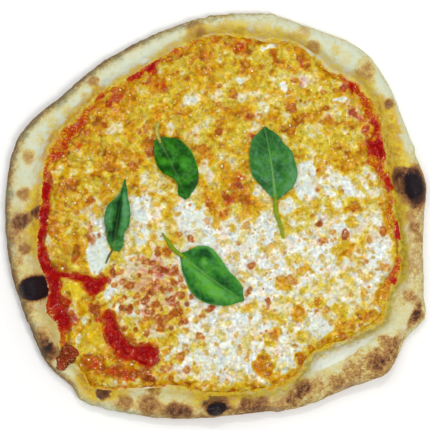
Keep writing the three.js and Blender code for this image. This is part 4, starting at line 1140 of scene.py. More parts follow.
        (16, -29, 3, 0.3), (27, -37, 2.6, 0.75), (41, -24, 3, 0.4), (51, -24, 2.6, 0.25),
        (-6, -4, 3.4, 0.6), (0, -9, 2.2, 0.4), (-11, -12, 3, 0.15), (-27, -14, 3, 0.55),
        (-19, -17, 2.2, 0.8), (-48, -15, 2.2, 0.1), (-55, -15, 1.9, 0.1), (-92, -18, 4.1, 0.85),
        (-87, -15, 2.2, 0.9), (26, -55, 3, 0.85), (40, -64, 3, 0.8), (30, -67, 3, 0.25), (42, -76, 3, 0.35),
        (52, -77, 3, 0.1), (62, -74, 4.5, 0.45), (77, -65, 3.4, 0.65), (84, -70, 3, 0.4),
        (93, -63, 2.2, 0.2), (94, -72, 3, 0.4), (99, -48, 4.5, 0.15), (85, -53, 3.8, 0.1),
        (117, -45, 2.6, 0.4), (111, -59, 3, 0.6), (111, -74, 3.8, 0.55), (120, -75, 3, 0.5),
        (135, -48, 3, 0.9), (66, -91, 4.1, 0.2), (80, -97, 3, 0.6), (96, -90, 2.6, 0.75),
        (72, -100, 3, 0.6), (65, -107, 3.4, 0.75), (30, -130, 3.4, 0.85), (12, -133, 3, 0.85),
        (-12, -90, 3.8, 0.7), (-6, -85, 2.6, 0.45), (-10, -75, 2.2, 0.7), (-3, -69, 3, 0.85),
        (3, -89, 3.8, 0.1), (23, -94, 3.8, 0.1), (32, -92, 2.2, 0.2), (43, -90, 3.4, 0.5),
        (0, -123, 2.6, 0.15), (9, -102, 2.2, 0.1), (-27, -105, 3, 0.75), (-29, -96, 2.6, 0.25),
        (-21, -116, 3, 0.6), (-33, -122, 2.6, 0.75), (-37, -114, 3, 0.6), (-39, -94, 3, 0.4),
        (-48, -102, 2.2, 0.5), (-52, -77, 3, 0.65), (-52, -88, 2.6, 0.8), (-62, -95, 3, 0.75),
        (-67, -84, 2.6, 0.75), (-41, -84, 3.8, 0.75), (-52, -63, 3, 0.95), (-64, -69, 3.4, 0.95),
        (-64, -53, 3.4, 0.75), (-59, -60, 2.6, 0.7), (-44, -66, 3.4, 0.8), (-39, -55, 3, 0.85),
        (-39, -41, 3.4, 0.95), (-30, -42, 3, 0.85), (-43, -28, 3, 0.8), (-36, -28, 3, 0.75),
        (-52, -34, 3.4, 0.8), (-27, -72, 3.8, 0.9), (-25, -60, 3.8, 0.85), (-35, -77, 3, 0.8),
        (-56, -80, 2.2, 0.6), (-91, -70, 3.8, 0.95), (-84, -114, 3, 0.95), (-72, -116, 3.8, 0.8),
        (-61, -118, 3, 1), (-95, -110, 3, 0.7), (-101, 8, 2.2, 0.4), (-97, 18, 2.2, 0.6),
        (-77, -42, 3, 0.9), (-85, -44, 2.6, 0.9), (-47, -35, 2.6, 0.8), (-31, -50, 2.6, 0.8),
        (-32, -62, 2.6, 0.85), (-42, -75, 2.6, 0.8), (-21, -66, 2.6, 0.8), (-71, -63, 2.2, 0.6),
        (-58, -72, 2.2, 0.6), (-21, -86, 2.2, 0.5), (-57, -45, 2.2, 0.8), (-48, -42, 2.2, 0.8),
        (-69, -49, 2.2, 0.7), (-54, -55, 2.2, 0.85), (-48, -58, 2.6, 0.9), (-33, -55, 2.2, 0.8),
        (-36, -63, 2.2, 0.9), (-28, -66, 2.6, 0.9), (-47, -72, 2.2, 0.85), (-40, -70, 2.2, 0.9),
        (-59, -66, 2.2, 0.8), (-68, -61, 2.2, 0.8), (-24, -53, 2.2, 0.7), (-18, -61, 2.2, 0.7),
        (-24, -78, 2.6, 0.8), (-50, -83, 2.2, 0.7), (-60, -85, 2.2, 0.8), (-43, -49, 2.2, 0.85),
        (-26, -47, 2.2, 0.7), (-51, -72, 2.2, 0.8), (-33, -83, 2.2, 0.7), (-72, -77, 2.2, 0.7),
        (-63, -90, 2.2, 0.7), (-76, -52, 2.2, 0.6), (-71, -97, 3, 0.5), (-35, -102, 2.6, 0.6),
        (-22, -97, 2.2, 0.45), (19, -117, 2.2, 0.15), (-1, -113, 2.2, 0.1), (13, -117, 2.2, 0.3),
        (6, -129, 2.2, 0.35), (-7, -102, 2.2, 0.2), (1, -96, 2.2, 0.3), (18, -102, 2.2, 0.25),
        (27, -102, 2.2, 0.3), (16, -89, 2.2, 0.3), (10, -80, 2.2, 0.2), (-2, -137, 2.2, 0.5),
        (36, -102, 2.2, 0.3), (46, -107, 2.2, 0.25), (58, -117, 2.2, 0.35), (70, -80, 2.2, 0.2),
        (87, -80, 2.2, 0.3), (97, -77, 2.2, 0.35), (103, -65, 2.2, 0.3), (84, -44, 2.2, 0.25),
        (75, -50, 2.2, 0.3), (72, -35, 2.2, 0.25), (61, -30, 2.2, 0.2), (55, -35, 1.9, 0.3),
        (46, -38, 2.2, 0.3), (33, -21, 1.9, 0.3), (13, -9, 1.9, 0.35), (24, -6, 1.9, 0.3),
        (36, -12, 1.9, 0.35), (70, -12, 2.2, 0.3), (88, -12, 2.2, 0.35), (109, -44, 2.2, 0.3),
        (123, -35, 2.2, 0.35), (118, -27, 2.2, 0.4), (129, -39, 2.2, 0.4), (81, -32, 2.2, 0.25),
        (-21, -102, 2.2, 0.4), (-14, -117, 2.2, 0.45), (-8, -126, 2.2, 0.4),
    ],
}


def cheesePits():
    # the named spots, then seeded ones: x, y, radius, brown
    tries = np.random.default_rng(mozzarella["pitSeed"]).random((4 * mozzarella["pits"], 5))
    x, y = mozzarella["pitSpan"] * (tries[:, 0] - 0.5), mozzarella["pitSpan"] * (tries[:, 1] - 0.5)
    size, shade, chance = tries[:, 2:].T
    cream, red = np.clip(creamAt(x, y), 0, 1), redAt(x, y)
    kept = (cheeseInside(x, y) > 1) & (chance < 0.15 + 0.5 * cream + 0.5 * red)
    low, high = mozzarella["pitSizes"]
    radius = low + (high - low) * size**2.4
    inMilk = 0.1 + 0.5 * shade**1.5 + 0.3 * red * shade
    inGold = 0.15 + 0.5 * shade + 0.25 * red
    brown = np.where(cream > 0.5, inMilk, inGold)
    found = np.column_stack([x, y, radius, np.minimum(brown, 1)])[kept][: mozzarella["pits"]]
    return [*mozzarella["spots"], *found.tolist()]


def creamAt(x, y):
    u, v = wandered(x, y, 2.4, 7, 76)
    share = np.full_like(x, 0.5)
    for zone in mozzarella["zones"]:
        share = share + (zone[5] - share) * zone[6] * easeIn(ovalShare(u, v, zone), 0, 0.65)
    edge = 1 - easeIn(cheeseInside(x, y) + 1.5 * grain(flat3(x, y), 11, 78), 0, 5)
    share = share + (0.3 - share) * edge * 0.7
    middle, level, gain = mozzarella["contrast"]
    return level + gain * (share - middle)


def redAt(x, y):
    # sauce has bled into the stains and into the thin edges beside it
    fromEdge = cheeseInside(x, y) + 1.4 * grain(flat3(x, y), 4, 74)
    deep = np.where(gapDistance(x, y) < 7, 0.9, deepAt(x, y))
    bled = 0.9 * deep * (1 - easeIn(fromEdge, 0, 5.5))
    return np.maximum(bled, coverOf(*wandered(x, y, 2.2, 6, 79), mozzarella["stains"], 1))


def calmAt(x, y):
    return coverOf(*wandered(x, y, 2, 7, 85), mozzarella["calm"], 1)


def pitFields(x, y, pits):
    # each pit's amber halo, brown ring and painted glint in its middle, how brown it is, and its relief
    halo, ring, core, brown, dip = (np.zeros_like(x) for _ in range(5))
    fray = 0.6 * grain(flat3(x, y), 3.6, 75, 2) + 0.5 * grain(flat3(x, y), 8, 77)
    order = np.argsort(x)
    sortedX = x[order]
    deepening, deepest = mozzarella["pitDepth"]
    for px, py, radius, shade in pits:
        reach = mozzarella["pitReach"] * radius
        a, b = np.searchsorted(sortedX, (px - reach, px + reach))
        near = order[a:b]
        near = near[np.abs(y[near] - py) < reach]
        u, v = seenFrom(x[near], y[near], px, py, 5 * px)
        d = np.hypot(0.86 * u, 1.16 * v) / radius * (1 + 0.22 * min(radius, 3) * fray[near])
        depth = min(deepest, deepening * radius)
        brink = 0.25 * depth * np.exp(-(((d - 1.2) / 0.3) ** 2))
        crater = -depth * np.maximum(0, 1 - d * d) ** 1.5 + brink
        if radius > mozzarella["curdInMiddle"]:
            crater = crater + 0.6 * depth * np.exp(-((d / 0.4) ** 2))
        dip[near] += crater
        cover = easeIn(1.6 - d, 0, 1.1)
        brown[near] = np.where(cover > halo[near], shade, brown[near])
        halo[near] = np.maximum(halo[near], cover)
        filled = np.exp(-((d / 0.85) ** 2)) * np.clip(4 * shade - 2.4, 0, 1)
        ring[near] = np.maximum(ring[near], np.maximum(filled, np.exp(-(((d - 0.58) / 0.4) ** 2))))
        core[near] = np.maximum(core[near], np.exp(-((d / 0.38) ** 2)) * (0.4 + 0.6 * (7 * px % 1)))
    return halo, ring, core, brown, dip


def curdAt(x, y):
    return lumpsAt(flat3(x, y), mozzarella["relief"], 71)


def meltedMozzarella():
    recipe = Recipe("meltedMozzarella")
    fine = recipe.noise(2.2, 1, 0.4, offset=0.05, swirl=0.4)
    speck = recipe.noise(3.8, 1, 0.4, offset=0.41, swirl=0.6)
    small = recipe.noise(7, 1, 0.3, offset=0.17, swirl=0.8)
    patch = recipe.noise(16, 1, offset=0.31, swirl=0.9)
    warm = recipe.noise(7, 1, offset=0.53, swirl=0.6)
    ripe = recipe.noise(13, 1, offset=1.31, swirl=0.8)
    cream, red, brown = recipe.field("cream"), recipe.field("red"), recipe.field("brown")
    halo, ring, core = recipe.field("halo"), recipe.field("ring"), recipe.field("core")
    rowdy = 1 - recipe.field("calm") * 0.8
    mottle = sway((patch, 1.35), (small, 0.95))
    milk = cream + mottle * rowdy * 0.95
    colour = recipe.ramp(
        milk, (0, 148, 80, 0), (0.12, 176, 112, 0), (0.24, 188, 138, 0), (0.35, 199, 158, 8),
        (0.48, 203, 176, 56), (0.61, 206, 194, 118), (0.73, 213, 209, 170), (0.95, 215, 223, 216))
    gold = (1 - milk.over(0.5, 0.75)) * rowdy
    colour = recipe.tinted(colour, gold * ripe.over(0.5, 0.66) * 0.55, 206, 140, 14)
    colour = recipe.tinted(colour, gold * (1 - ripe.over(0.34, 0.48)) * 0.6, 200, 184, 50)
    pooled = recipe.field("calm") * milk.over(0.2, 0.4) * (1 - milk.over(0.55, 0.75))
    colour = recipe.tinted(colour, pooled * 0.75, 220, 190, 22)
    dull = recipe.noise(6, 1, offset=1.07, swirl=0.8).over(0.5, 0.64) * rowdy * milk.over(0.6, 0.8)
    colour = recipe.tinted(colour, dull * 0.35, 186, 172, 136)
    still = recipe.field("calm") * milk.over(0.7, 1)
    colour = recipe.tinted(colour, still * 0.4, 196, 214, 184)
    rosy = warm.over(0.52, 0.66) * rowdy * milk.over(0.45, 0.75)
    colour = recipe.tinted(colour, rosy * 0.5, 224, 188, 162)
    cool = (1 - warm.over(0.36, 0.48)) * milk.over(0.62, 0.95)
    colour = recipe.tinted(colour, cool * 0.6, 206, 215, 219)
    # dark brown lines in the creases between curds: brown colour with painted shade
    creaseBrownAndShade = recipe.noise(5, 1, offset=0.71, swirl=0.5)
    creaseBrownAndShade = (1 - (creaseBrownAndShade - 0.5) * (creaseBrownAndShade - 0.5) * 400).atLeast(0) * rowdy * (1 - milk.over(0.6, 1.1))
    colour = recipe.tinted(colour, creaseBrownAndShade * 0.12, 164, 116, 4)
    redShare = red + sway((patch, 1), (small, 1.3)) - (milk - 0.4) * 0.3
    stain = recipe.ramp(
        redShare, (0.3, 200, 134, 6), (0.55, 190, 88, 2), (0.8, 172, 42, 2), (1, 152, 8, 4))
    colour = recipe.mix(redShare.over(0.15, 0.85) * 0.9, colour, stain)
    shade = brown + (small - 0.5) * 0.6
    amber = recipe.ramp(
        shade, (0, 204, 194, 90), (0.3, 200, 170, 24), (0.6, 198, 140, 8), (1, 188, 100, 6))
    clear = (1 - redShare.over(0.7, 1.2) * 0.8) * (0.3 + rowdy * 0.7)
    around = (halo + (small - 0.5) * 0.9).over(0.1, 1) * clear
    colour = recipe.mix(around * (0.72 + brown * 0.25), colour, amber)
    scorched = recipe.ramp(
        shade, (0.1, 188, 154, 26), (0.45, 180, 110, 8), (0.75, 156, 68, 6), (1, 112, 32, 6))
    charring = ring * (brown + (small - 0.5) * 1.2).over(0.05, 0.8) * clear
    colour = recipe.mix(charring * 0.8, colour, scorched)
    # painted glint in the middle of the browner pits
    pale = core * brown.over(0.2, 0.7) * (1 - brown.over(0.7, 0.85) * 0.8) * milk.over(0.3, 0.7)
    colour = recipe.tinted(colour, pale * 0.5, 226, 176, 100)
    # pale flecks: partly curds, partly painted glints
    curd = recipe.noise(3.4, 1, 0.4, offset=0.91, swirl=0.6).over(0.52, 0.72) * rowdy * (milk + 0.25)
    colour = recipe.tinted(colour, curd * 0.2, 226, 210, 156)
    # painted glints: small light flecks in the colour; the coat laid on the same spots is real gloss
    glintSpots = recipe.noise(2.6, 1, offset=0.83, swirl=0.6).over(0.58, 0.7)
    colour = recipe.tinted(colour, glintSpots * 0.15 * rowdy, 232, 204, 162)
    # lighter and darker grain with painted glints and painted shade in the creases, scaled into the colour
    light = sway((fine, 0.75), (speck, 0.9)) + curd * 0.12 + glintSpots * 0.12 - creaseBrownAndShade * 0.1
    colour = recipe.brighten(colour, light * (0.35 + rowdy * 0.65) + 1)
    skin = recipe.bumps((small, 1.4, 0.7), (fine, 0.5, 0.7))
    return recipe.finish(
        colour=colour, rough=0.22 + milk.over(0.4, 0.9) * 0.1, normal=skin, specular=0.07,
        coat=glintSpots * 0.55, coatRough=0.14)


cheesePitList = cheesePits()


def cheeseTopAt(x, y):
    inFromEdge = cheeseInside(x, y)
    edge = 1 - (1 - np.clip(inFromEdge / mozzarella["edgeRoll"], 0, 1)) ** 2
    dip = pitFields(x, y, cheesePitList)[4]
    top = bareCheeseTop(x, y) + curdAt(x, y) * (1 - 0.6 * calmAt(x, y)) + dip
    low = topping["cheeseBottom"] + 0.12
    return low + np.maximum(top - low, 0.15) * edge


cheesePoints, cheeseFaces = gridSheet(
    mozzarella["step"], cheeseInside, cheeseTopAt, topping["cheeseBottom"] - mozzarella["sunk"])
x, y = cheesePoints[:, 0], cheesePoints[:, 1]
halo, ring, core, brown, _ = pitFields(x, y, cheesePitList)
cheesePiece = makePiece(
    "meltedCheese", cheesePoints, cheeseFaces, "cheese",
    {"cream": creamAt(x, y) + 0.12 * curdAt(x, y), "red": redAt(x, y), "halo": halo, "ring": ring,
     "core": core, "brown": brown, "calm": calmAt(x, y)},
    meltedMozzarella())


# lies on the flank of the rim
tomatoPiece = {
    "place": (-110, -104),
    "outline": [
        (18, 9.5), (59, 8.8), (95, 9), (140, 7.6), (170, 8.4), (212, 9.8), (247, 11.4), (290, 7),
        (330, 6.6),
    ],
    "thickness": 1.7,
    "edge": 0.5,
    "gap": 0.15,
    "spokes": 120,
    "rings": 22,
    "feelers": 12,  # places round each point that it is draped over
    "feelerReach": 1.2,
    "evenOut": 1.4,
}


def plainSurfaceAt(x, y):
    # cheese, sauce or flank of the rim, without their fine relief
    angle, reach = np.arctan2(y, x), np.hypot(x, y)
    inner = toppingReach(angle)
    flat = np.where(reach < cheeseReach(angle), bareCheeseTop(x, y), topping["sauceTop"] + 0.4)
    return softMax(flankAt(x, y), np.where(reach < inner + 1, flat, 0), 2)


def drapedOver(x, y):
    # the highest surface near each point, evened out like a limp thing that lies on it
    highest = plainSurfaceAt(x, y)
    count, reach = tomatoPiece["feelers"], tomatoPiece["feelerReach"]
    for turn in range(count):
        a = fullTurn * turn / count
        highest = np.maximum(highest, plainSurfaceAt(x + reach * math.cos(a), y + reach * math.sin(a)))
    return highest


def tomatoPoints():
    count, rings = tomatoPiece["spokes"], tomatoPiece["rings"]
    angle = np.arange(count) * fullTurn / count
    outline = atBearing(tomatoPiece["outline"], angle)
    middleX, middleY = tomatoPiece["place"]
    shares = np.concatenate([np.arange(1, rings + 1) / rings, np.arange(rings, 0, -2) / rings * 0.985])
    top = np.arange(len(shares)) < rings
    x = np.concatenate([(middleX + np.outer(shares, outline * np.cos(angle))).ravel(), [middleX] * 2])
    y = np.concatenate([(middleY + np.outer(shares, outline * np.sin(angle))).ravel(), [middleY] * 2])
    share = np.concatenate([np.repeat(shares, count), [0, 0]])
    onTop = np.concatenate([np.repeat(top, count), [True, False]])
    even, turns = tomatoPiece["evenOut"], np.arange(6) * fullTurn / 6
    draped = sum(drapedOver(x + even * math.cos(a), y + even * math.sin(a)) for a in turns)
    rest = draped / len(turns) + tomatoPiece["gap"]
    spot = flat3(x, y)
    swell = tomatoPiece["edge"] + (tomatoPiece["thickness"] - tomatoPiece["edge"]) * np.sqrt(1 - share**2.6)
    wrinkle = 0.75 * grain(spot, 5, 81, 2) + 0.3 * grain(spot, 1.8, 82, 2)
    z = rest + np.where(onTop, swell + wrinkle * np.sqrt(1 - share**4), 0)
    x, y = wandered(x, y, 2, 6, 86)
    points = np.column_stack([x, y, z])
    singe = easeIn(grain(spot, 6, 83, 2) + 0.9 * share**2, 0.15, 1)
    return points, ringFaces(len(shares), count, len(points) - 2, len(points) - 1), singe


def bakedTomato():
    recipe = Recipe("bakedTomato")
    fine, small = recipe.noise(0.9, 2), recipe.noise(2.2, 3, offset=0.19)
    singe = recipe.field("singe")
    flesh = recipe.mix(small.over(0.36, 0.62), tint(150, 56, 14), tint(106, 22, 6))
    scorched = (singe + sway((small, 0.9), (fine, 0.4))).over(0.35, 0.85)
    colour = recipe.mix(scorched * 0.7, flesh, tint(80, 34, 14))
    # painted glints: light flecks where both noises are high
    colour = recipe.tinted(colour, (fine + small).over(1.05, 1.25) * 0.8, 212, 140, 84)
    skin = recipe.bumps((small, 0.6, 0.7), (fine, 0.25, 0.5))
    return recipe.finish(
        colour=colour, rough=0.2 + scorched * 0.2, normal=skin, specular=0.15)


points, faces, singe = tomatoPoints()
makePiece(
    "bakedTomatoPiece", points, faces, "tomato_piece", {"singe": singe},
    bakedTomato())


basil = {
    "thickness": 0.5,
    "gap": 0.6,
    "along": 110,
    "across": 64,
    "veins": 6,  # on each side of the midrib
    "veinSweep": 0.24,
    "veinSpan": 0.86,  # the share of the blade's length that has veins
    "veinDepths": (0.22, 0.1),  # midrib and side veins
    "veinWidth": 0.5,
    "quilt": 0.5,
    "edgeThin": 0.3,
    "stemSides": 12,
    "stemSteps": 12,
    "stemFlat": 0.85,
    "stemGap": 0.35,
    "stemInBlade": [(0.3, 0.2), (0.2, 0.25), (0.1, 0.3), (0.03, 0.35)],  # share of length, depth
    "leaves": {
        "basil_upper_left": {
            "base": (-42.4, 58.1), "tip": (-20.6, 13.1), "sweep": 0.5,
            "left": (3.8, 12.8, 15.8, 17.3, 17.5, 16.7, 15, 10.9, 1.5),
            "right": (3.8, 6.8, 9.2, 10.1, 8.6, 4.1, 2.4, 5.2, 2.2),
            "fold": 0.04, "arch": 4.2, "curl": 0.4, "ripple": 0.9,
            "bubbles": [(0.33, -0.25, 6, 1.6), (0.5, 0.45, 7, 1.2), (0.16, 0.4, 5, 0.9)],
            "stem": [(-43.8, 64), (-42.2, 70.5)], "stemRadius": (1.5, 1),
            "quilted": 0.3, "blistered": 1.1, "tuck": (0.78, 1.7), "veined": 0.25, "sideVeins": 0.3,
            # painted highlights and shadows: s, t, along, across, brighter or darker
            "lightShadePatches": [
                (0.36, -0.45, 0.05, 0.3, 1.3), (0.42, 0.1, 0.06, 0.15, 0.8), (0.2, 0.2, 0.1, 0.3, 0.5),
                (0.55, 0.1, 0.12, 0.25, -0.6), (0.3, 0, 0.1, 0.3, -0.5), (0.72, 0.55, 0.14, 0.35, 0.6),
                (0.84, 0.55, 0.05, 0.4, -1.6), (0.93, -0.1, 0.06, 0.5, 0.5), (0.1, -0.7, 0.1, 0.3, 0.5),
            ],
            "tints": [(2, 34, 0), (16, 80, 0), (58, 140, 8)],
            "sheenTint": (96, 160, 112), "sheen": 0.1,
            "stemTint": (190, 178, 84),
        },
        "basil_upper_right": {
            "base": (45.4, 11.6), "tip": (37.1, 66.8), "sweep": -1,
            "left": (1.1, 5.9, 11, 15.2, 16, 15.2, 13.7, 10, 0.8),
            "right": (1.9, 12.8, 17.5, 18.5, 17.6, 16.5, 11.6, 8.3, 1.1),
            "fold": 0.09, "arch": 1.2, "curl": 0.8, "ripple": 1.1,
            "bubbles": [(0.5, 0.5, 6, 0.9), (0.35, -0.5, 6, 0.8), (0.68, -0.45, 5, 0.8)],
            "stem": [(46, 1.9), (49.1, -7.1), (51.4, -16.9)], "stemRadius": (1.5, 0.9),
            "quilted": 0.5, "blistered": 0.5, "tuck": None, "veined": 0.85, "sideVeins": 0.3,
            "lightShadePatches": [
                (0.2, -0.75, 0.2, 0.3, 0.9), (0.5, -0.9, 0.3, 0.14, 0.5), (0.85, -0.2, 0.12, 0.6, -0.7),
                (0.75, 0.5, 0.12, 0.4, -0.5), (0.62, -0.25, 0.07, 0.2, 0.8), (0.45, -0.3, 0.08, 0.2, -0.5),
                (0.3, 0.3, 0.08, 0.3, 0.5), (0.3, 0.75, 0.1, 0.2, -0.5), (0.08, -0.3, 0.06, 0.4, 0.6),
            ],
            "tints": [(18, 66, 26), (42, 104, 40), (70, 136, 50)],
            "sheenTint": (92, 142, 116), "sheen": 0.4,
            "stemTint": (136, 158, 26),
        },
        "basil_left": {
            "base": (-76.5, -25.9), "tip": (-67.5, 27.4), "sweep": 0.4,
            "left": (1.1, 5.2, 6.8, 9.5, 10, 8.6, 3, 1.2, 0.5),
            "right": (5.2, 7.4, 6.6, 9.1, 9.2, 7.8, 5, 3, 0.6),
            "fold": 0.55, "arch": 0.8, "curl": 0.2, "ripple": 0.5,
            "bubbles": [(0.1, -0.6, 4, 1.2)],
            "stem": [(-79.2, -29.5), (-82, -35.6)], "stemRadius": (0.7, 0.5),
            "quilted": 0.2, "blistered": 0.5, "tuck": None, "veined": 0.15, "sideVeins": 0.2,
            "lightShadePatches": [
                (0.45, -0.6, 0.2, 0.3, 1.3), (0.7, -0.5, 0.12, 0.4, 0.7), (0.45, 0, 0.3, 0.16, -1.5),
                (0.75, 0.2, 0.15, 0.3, -1.2), (0.5, 0.6, 0.12, 0.2, 0.6), (0.2, 0.5, 0.1, 0.4, -0.6),
                (0.1, -0.4, 0.07, 0.4, 0.6), (0.3, 0.25, 0.15, 0.1, -0.8),
            ],
            "tints": [(8, 44, 14), (38, 100, 34), (84, 150, 82)],
            "sheenTint": (104, 160, 128), "sheen": 0.3,
            "stemTint": (84, 86, 50),
        },
        "basil_lower": {
            "base": (-25.6, -29), "tip": (21.8, -63.4), "sweep": -1,
            "left": (2.2, 13.9, 18.2, 17.5, 15, 12.3, 11, 8.2, 0.8),
            "right": (1.5, 8.2, 12.8, 16.7, 18.2, 17.2, 14.2, 9.4, 0.8),
            "fold": 0.07, "arch": 2.2, "curl": 0.3, "ripple": 1,
            "bubbles": [(0.29, 0.36, 7.5, 3), (0.6, 0.5, 7, 1), (0.55, -0.5, 8, 1.1)],
            "stem": [(-31, -25), (-35.5, -18.5), (-39.6, -12.8)], "stemRadius": (1.6, 0.7),
            "quilted": 0.5, "blistered": 0.5, "tuck": None, "veined": 0.5, "sideVeins": 0.2,
            "lightShadePatches": [
                (0.27, 0.72, 0.1, 0.12, -1.4), (0.2, 0.55, 0.05, 0.25, -1.2), (0.3, 0.35, 0.06, 0.16, 1.1),
                (0.4, -0.22, 0.16, 0.12, 1.2), (0.62, -0.35, 0.12, 0.2, 1.1), (0.8, -0.35, 0.14, 0.4, 0.6),
                (0.1, 0.4, 0.08, 0.3, -0.5), (0.62, 0.25, 0.14, 0.3, -0.9), (0.85, 0.3, 0.1, 0.4, -0.4),
                (0.4, -0.85, 0.25, 0.15, -0.9), (0.12, -0.3, 0.1, 0.4, 0.6), (0.35, 0.95, 0.2, 0.12, 0.5),
            ],
            "tints": [(14, 72, 22), (46, 118, 34), (88, 162, 34)],
            "sheenTint": (86, 146, 110), "sheen": 0.3,
            "stemTint": (128, 156, 10),
        },
    },
}


def smoothSteps(values, s):
    # a smooth curve through evenly spaced values
    values = np.array(values, float)
    last = len(values) - 1
    at = np.clip(s * last, 0, last - 1e-9)
    i = np.floor(at).astype(int)
    u = at - i
    a, b, c, d = (values[np.clip(i + k, 0, last)] for k in (-1, 0, 1, 2))
    return b + 0.5 * u * (c - a + u * (2 * a - 5 * b + 4 * c - d + u * (3 * (b - c) + d - a)))


def bladeAt(leaf, s, t):
    # top face of a blade at s along it and t across it, with its vein field, its painted light and shade
    # from the puffs and crumples, and its midrib
    (bx, by), (tipX, tipY) = leaf["base"], leaf["tip"]
    dx, dy = tipX - bx, tipY - by
    length = math.hypot(dx, dy)
    half = np.where(t > 0, smoothSteps(leaf["left"], s), smoothSteps(leaf["right"], s))
    aside = half * t + leaf["sweep"] * 4 * s * (1 - s)
    x = bx + dx * s - dy / length * aside
    y = by + dy * s + dx / length * aside
    hump = np.sin(math.pi * s)
    lift = leaf["arch"] * hump * (1 - 0.6 * t * t) + leaf["fold"] * half * np.abs(t) * (0.3 + 0.7 * hump)
    lift = lift + leaf["curl"] * s * s
    lift = lift + leaf["ripple"] * 0.5 * t * t * (1 + np.sin(7.5 * math.pi * s + 2 * t))
    for bubbleS, bubbleT, radius, height in leaf["bubbles"]:
        off = np.hypot((s - bubbleS) * length, half * (t - bubbleT)) / radius
        lift = lift + height * np.maximum(0, 1 - off * off) ** 2
    if leaf["tuck"]:
        place, drop = leaf["tuck"]
        lift = lift - drop * easeIn(s + 0.05 * t, place - 0.02, place + 0.03)
    width = np.abs(t) * half
    midrib = np.exp(-((width / (0.35 + 0.75 * (1 - s) ** 1.5)) ** 2)) * (1 - 0.5 * s)
    spacing = basil["veinSpan"] / basil["veins"]
    along = (s - basil["veinSweep"] * np.abs(t) ** 1.25 - 0.03 - 0.5 * spacing * (t > 0)) / spacing
    offVein = np.abs(along - np.round(along)) * spacing * length
    side = np.exp(-((offVein / basil["veinWidth"]) ** 2)) * (1 - 0.75 * np.abs(t)) * easeIn(along, -0.6, 0.2)
    puff = np.abs(np.sin(math.pi * along)) ** 0.8 * easeIn(width, 0, 3) * easeIn(1 - np.abs(t), 0, 0.25)
    crumple = grain(flat3(x, y), 6, 91, 2)
    lift = lift + leaf["quilted"] * basil["quilt"] * (puff - 0.5) * easeIn(hump, 0, 0.5)
    ribDepth, sideDepth = basil["veinDepths"]
    lift = lift + leaf["blistered"] * 0.5 * crumple * easeIn(hump, 0, 0.4)
    lift = lift - ribDepth * midrib - sideDepth * side
    z = bareCheeseTop(x, y) + basil["gap"] + basil["thickness"] + np.maximum(lift, 0)
    vein = np.maximum(midrib, leaf["sideVeins"] * side)
    # painted light and shade: lighter where the blade bulges up, darker where it dips, plus the listed
    # patches
    tone = 0.5 * crumple * leaf["blistered"] + 0.25 * (puff - 0.5) * leaf["quilted"]
    for patchS, patchT, along, across, weight in leaf["lightShadePatches"]:
        tone = tone + weight * np.exp(-(((s - patchS) / along) ** 2) - ((t - patchT) / across) ** 2)
    return x, y, z, vein, tone, midrib


def bladeMesh(leaf):
    rows, columns = basil["along"] + 1, basil["across"] + 1
    s = 1 - (1 - np.linspace(0, 1, rows)) ** 1.1
    s, t = (grid.ravel() for grid in np.meshgrid(s, np.linspace(-1, 1, columns), indexing="ij"))
    x, y, z, vein, tone, midrib = bladeAt(leaf, s, t)
    thin = basil["thickness"] * np.clip(1 - np.abs(t) ** 8, basil["edgeThin"], 1)
    top = np.column_stack([x, y, z])
    under = np.column_stack([x, y, z - thin])
    grid = np.arange(rows * columns).reshape(rows, columns)
    a, b, c, d = grid[:-1, :-1], grid[:-1, 1:], grid[1:, :-1], grid[1:, 1:]
    upFaces = np.stack([a, c, d, b], -1).reshape(-1, 4)
    edge = np.concatenate([grid[:, 0], grid[-1, 1:], grid[-2::-1, -1], grid[0, -2:0:-1]])
    after = np.roll(edge, -1)
    count = rows * columns
    walls = np.column_stack([edge, edge + count, after + count, after])
    faces = np.vstack([upFaces, upFaces[:, ::-1] + count, walls])
    fields = {"vein": vein, "tone": tone, "lobe": t, "alongLeaf": s, "stalk": 0 * s}
    return np.vstack([top, under]), faces, {k: np.tile(v, 2) for k, v in fields.items()}


def stemMesh(leaf):
    # a tapering stalk that runs on under the base of the blade as its midrib
    thick, thin = leaf["stemRadius"]
    s, below = np.array(basil["stemInBlade"]).T
    x, y, z, *_ = bladeAt(leaf, s, 0 * s)
    inBlade = np.column_stack([x, y, z - below])
    route = [leaf["base"], *leaf["stem"]]
    onCheese = np.array([(px, py, 0) for px, py in route])
    onCheese[:, 2] = bareCheeseTop(onCheese[:, 0], onCheese[:, 1]) + basil["gap"] + thick
    knots = np.vstack([inBlade, onCheese[1:]])
    steps = np.linspace(0, 1, basil["stemSteps"] * len(knots))
    middle = np.column_stack([smoothSteps(knots[:, k], steps) for k in range(3)])
    widths = [0.12, 0.25, 0.45, 0.85 * thick, *np.linspace(thick, thin, len(knots) - 4)]
    radius = smoothSteps(widths, steps)
    low = bareCheeseTop(middle[:, 0], middle[:, 1]) + basil["stemGap"] + radius
    middle[:, 2] = np.where(steps * (len(knots) - 1) > 3, np.maximum(middle[:, 2], low), middle[:, 2])
    forward = np.gradient(middle, axis=0)
    forward /= np.linalg.norm(forward, axis=1, keepdims=True)
    side = np.cross(forward, (0, 0, 1))
    side /= np.linalg.norm(side, axis=1, keepdims=True)
    up = np.cross(side, forward)
    around = np.arange(basil["stemSides"]) * fullTurn / basil["stemSides"]
    across, upright = np.cos(around)[None, :, None], basil["stemFlat"] * np.sin(around)[None, :, None]
    rings = middle[:, None] + radius[:, None, None] * (across * side[:, None] + upright * up[:, None])
    points = np.vstack([rings.reshape(-1, 3), middle[0], middle[-1]])
    faces = ringFaces(len(middle), basil["stemSides"], len(points) - 2, len(points) - 1)
    stalk = easeIn(steps * (len(knots) - 1), 1.5, 3.2)
    stalk = np.append(np.repeat(stalk, basil["stemSides"]), (0, 1))
    zero = 0 * stalk
    fields = {"vein": zero, "tone": zero, "lobe": zero, "alongLeaf": zero, "stalk": stalk}
    return points, faces, fields


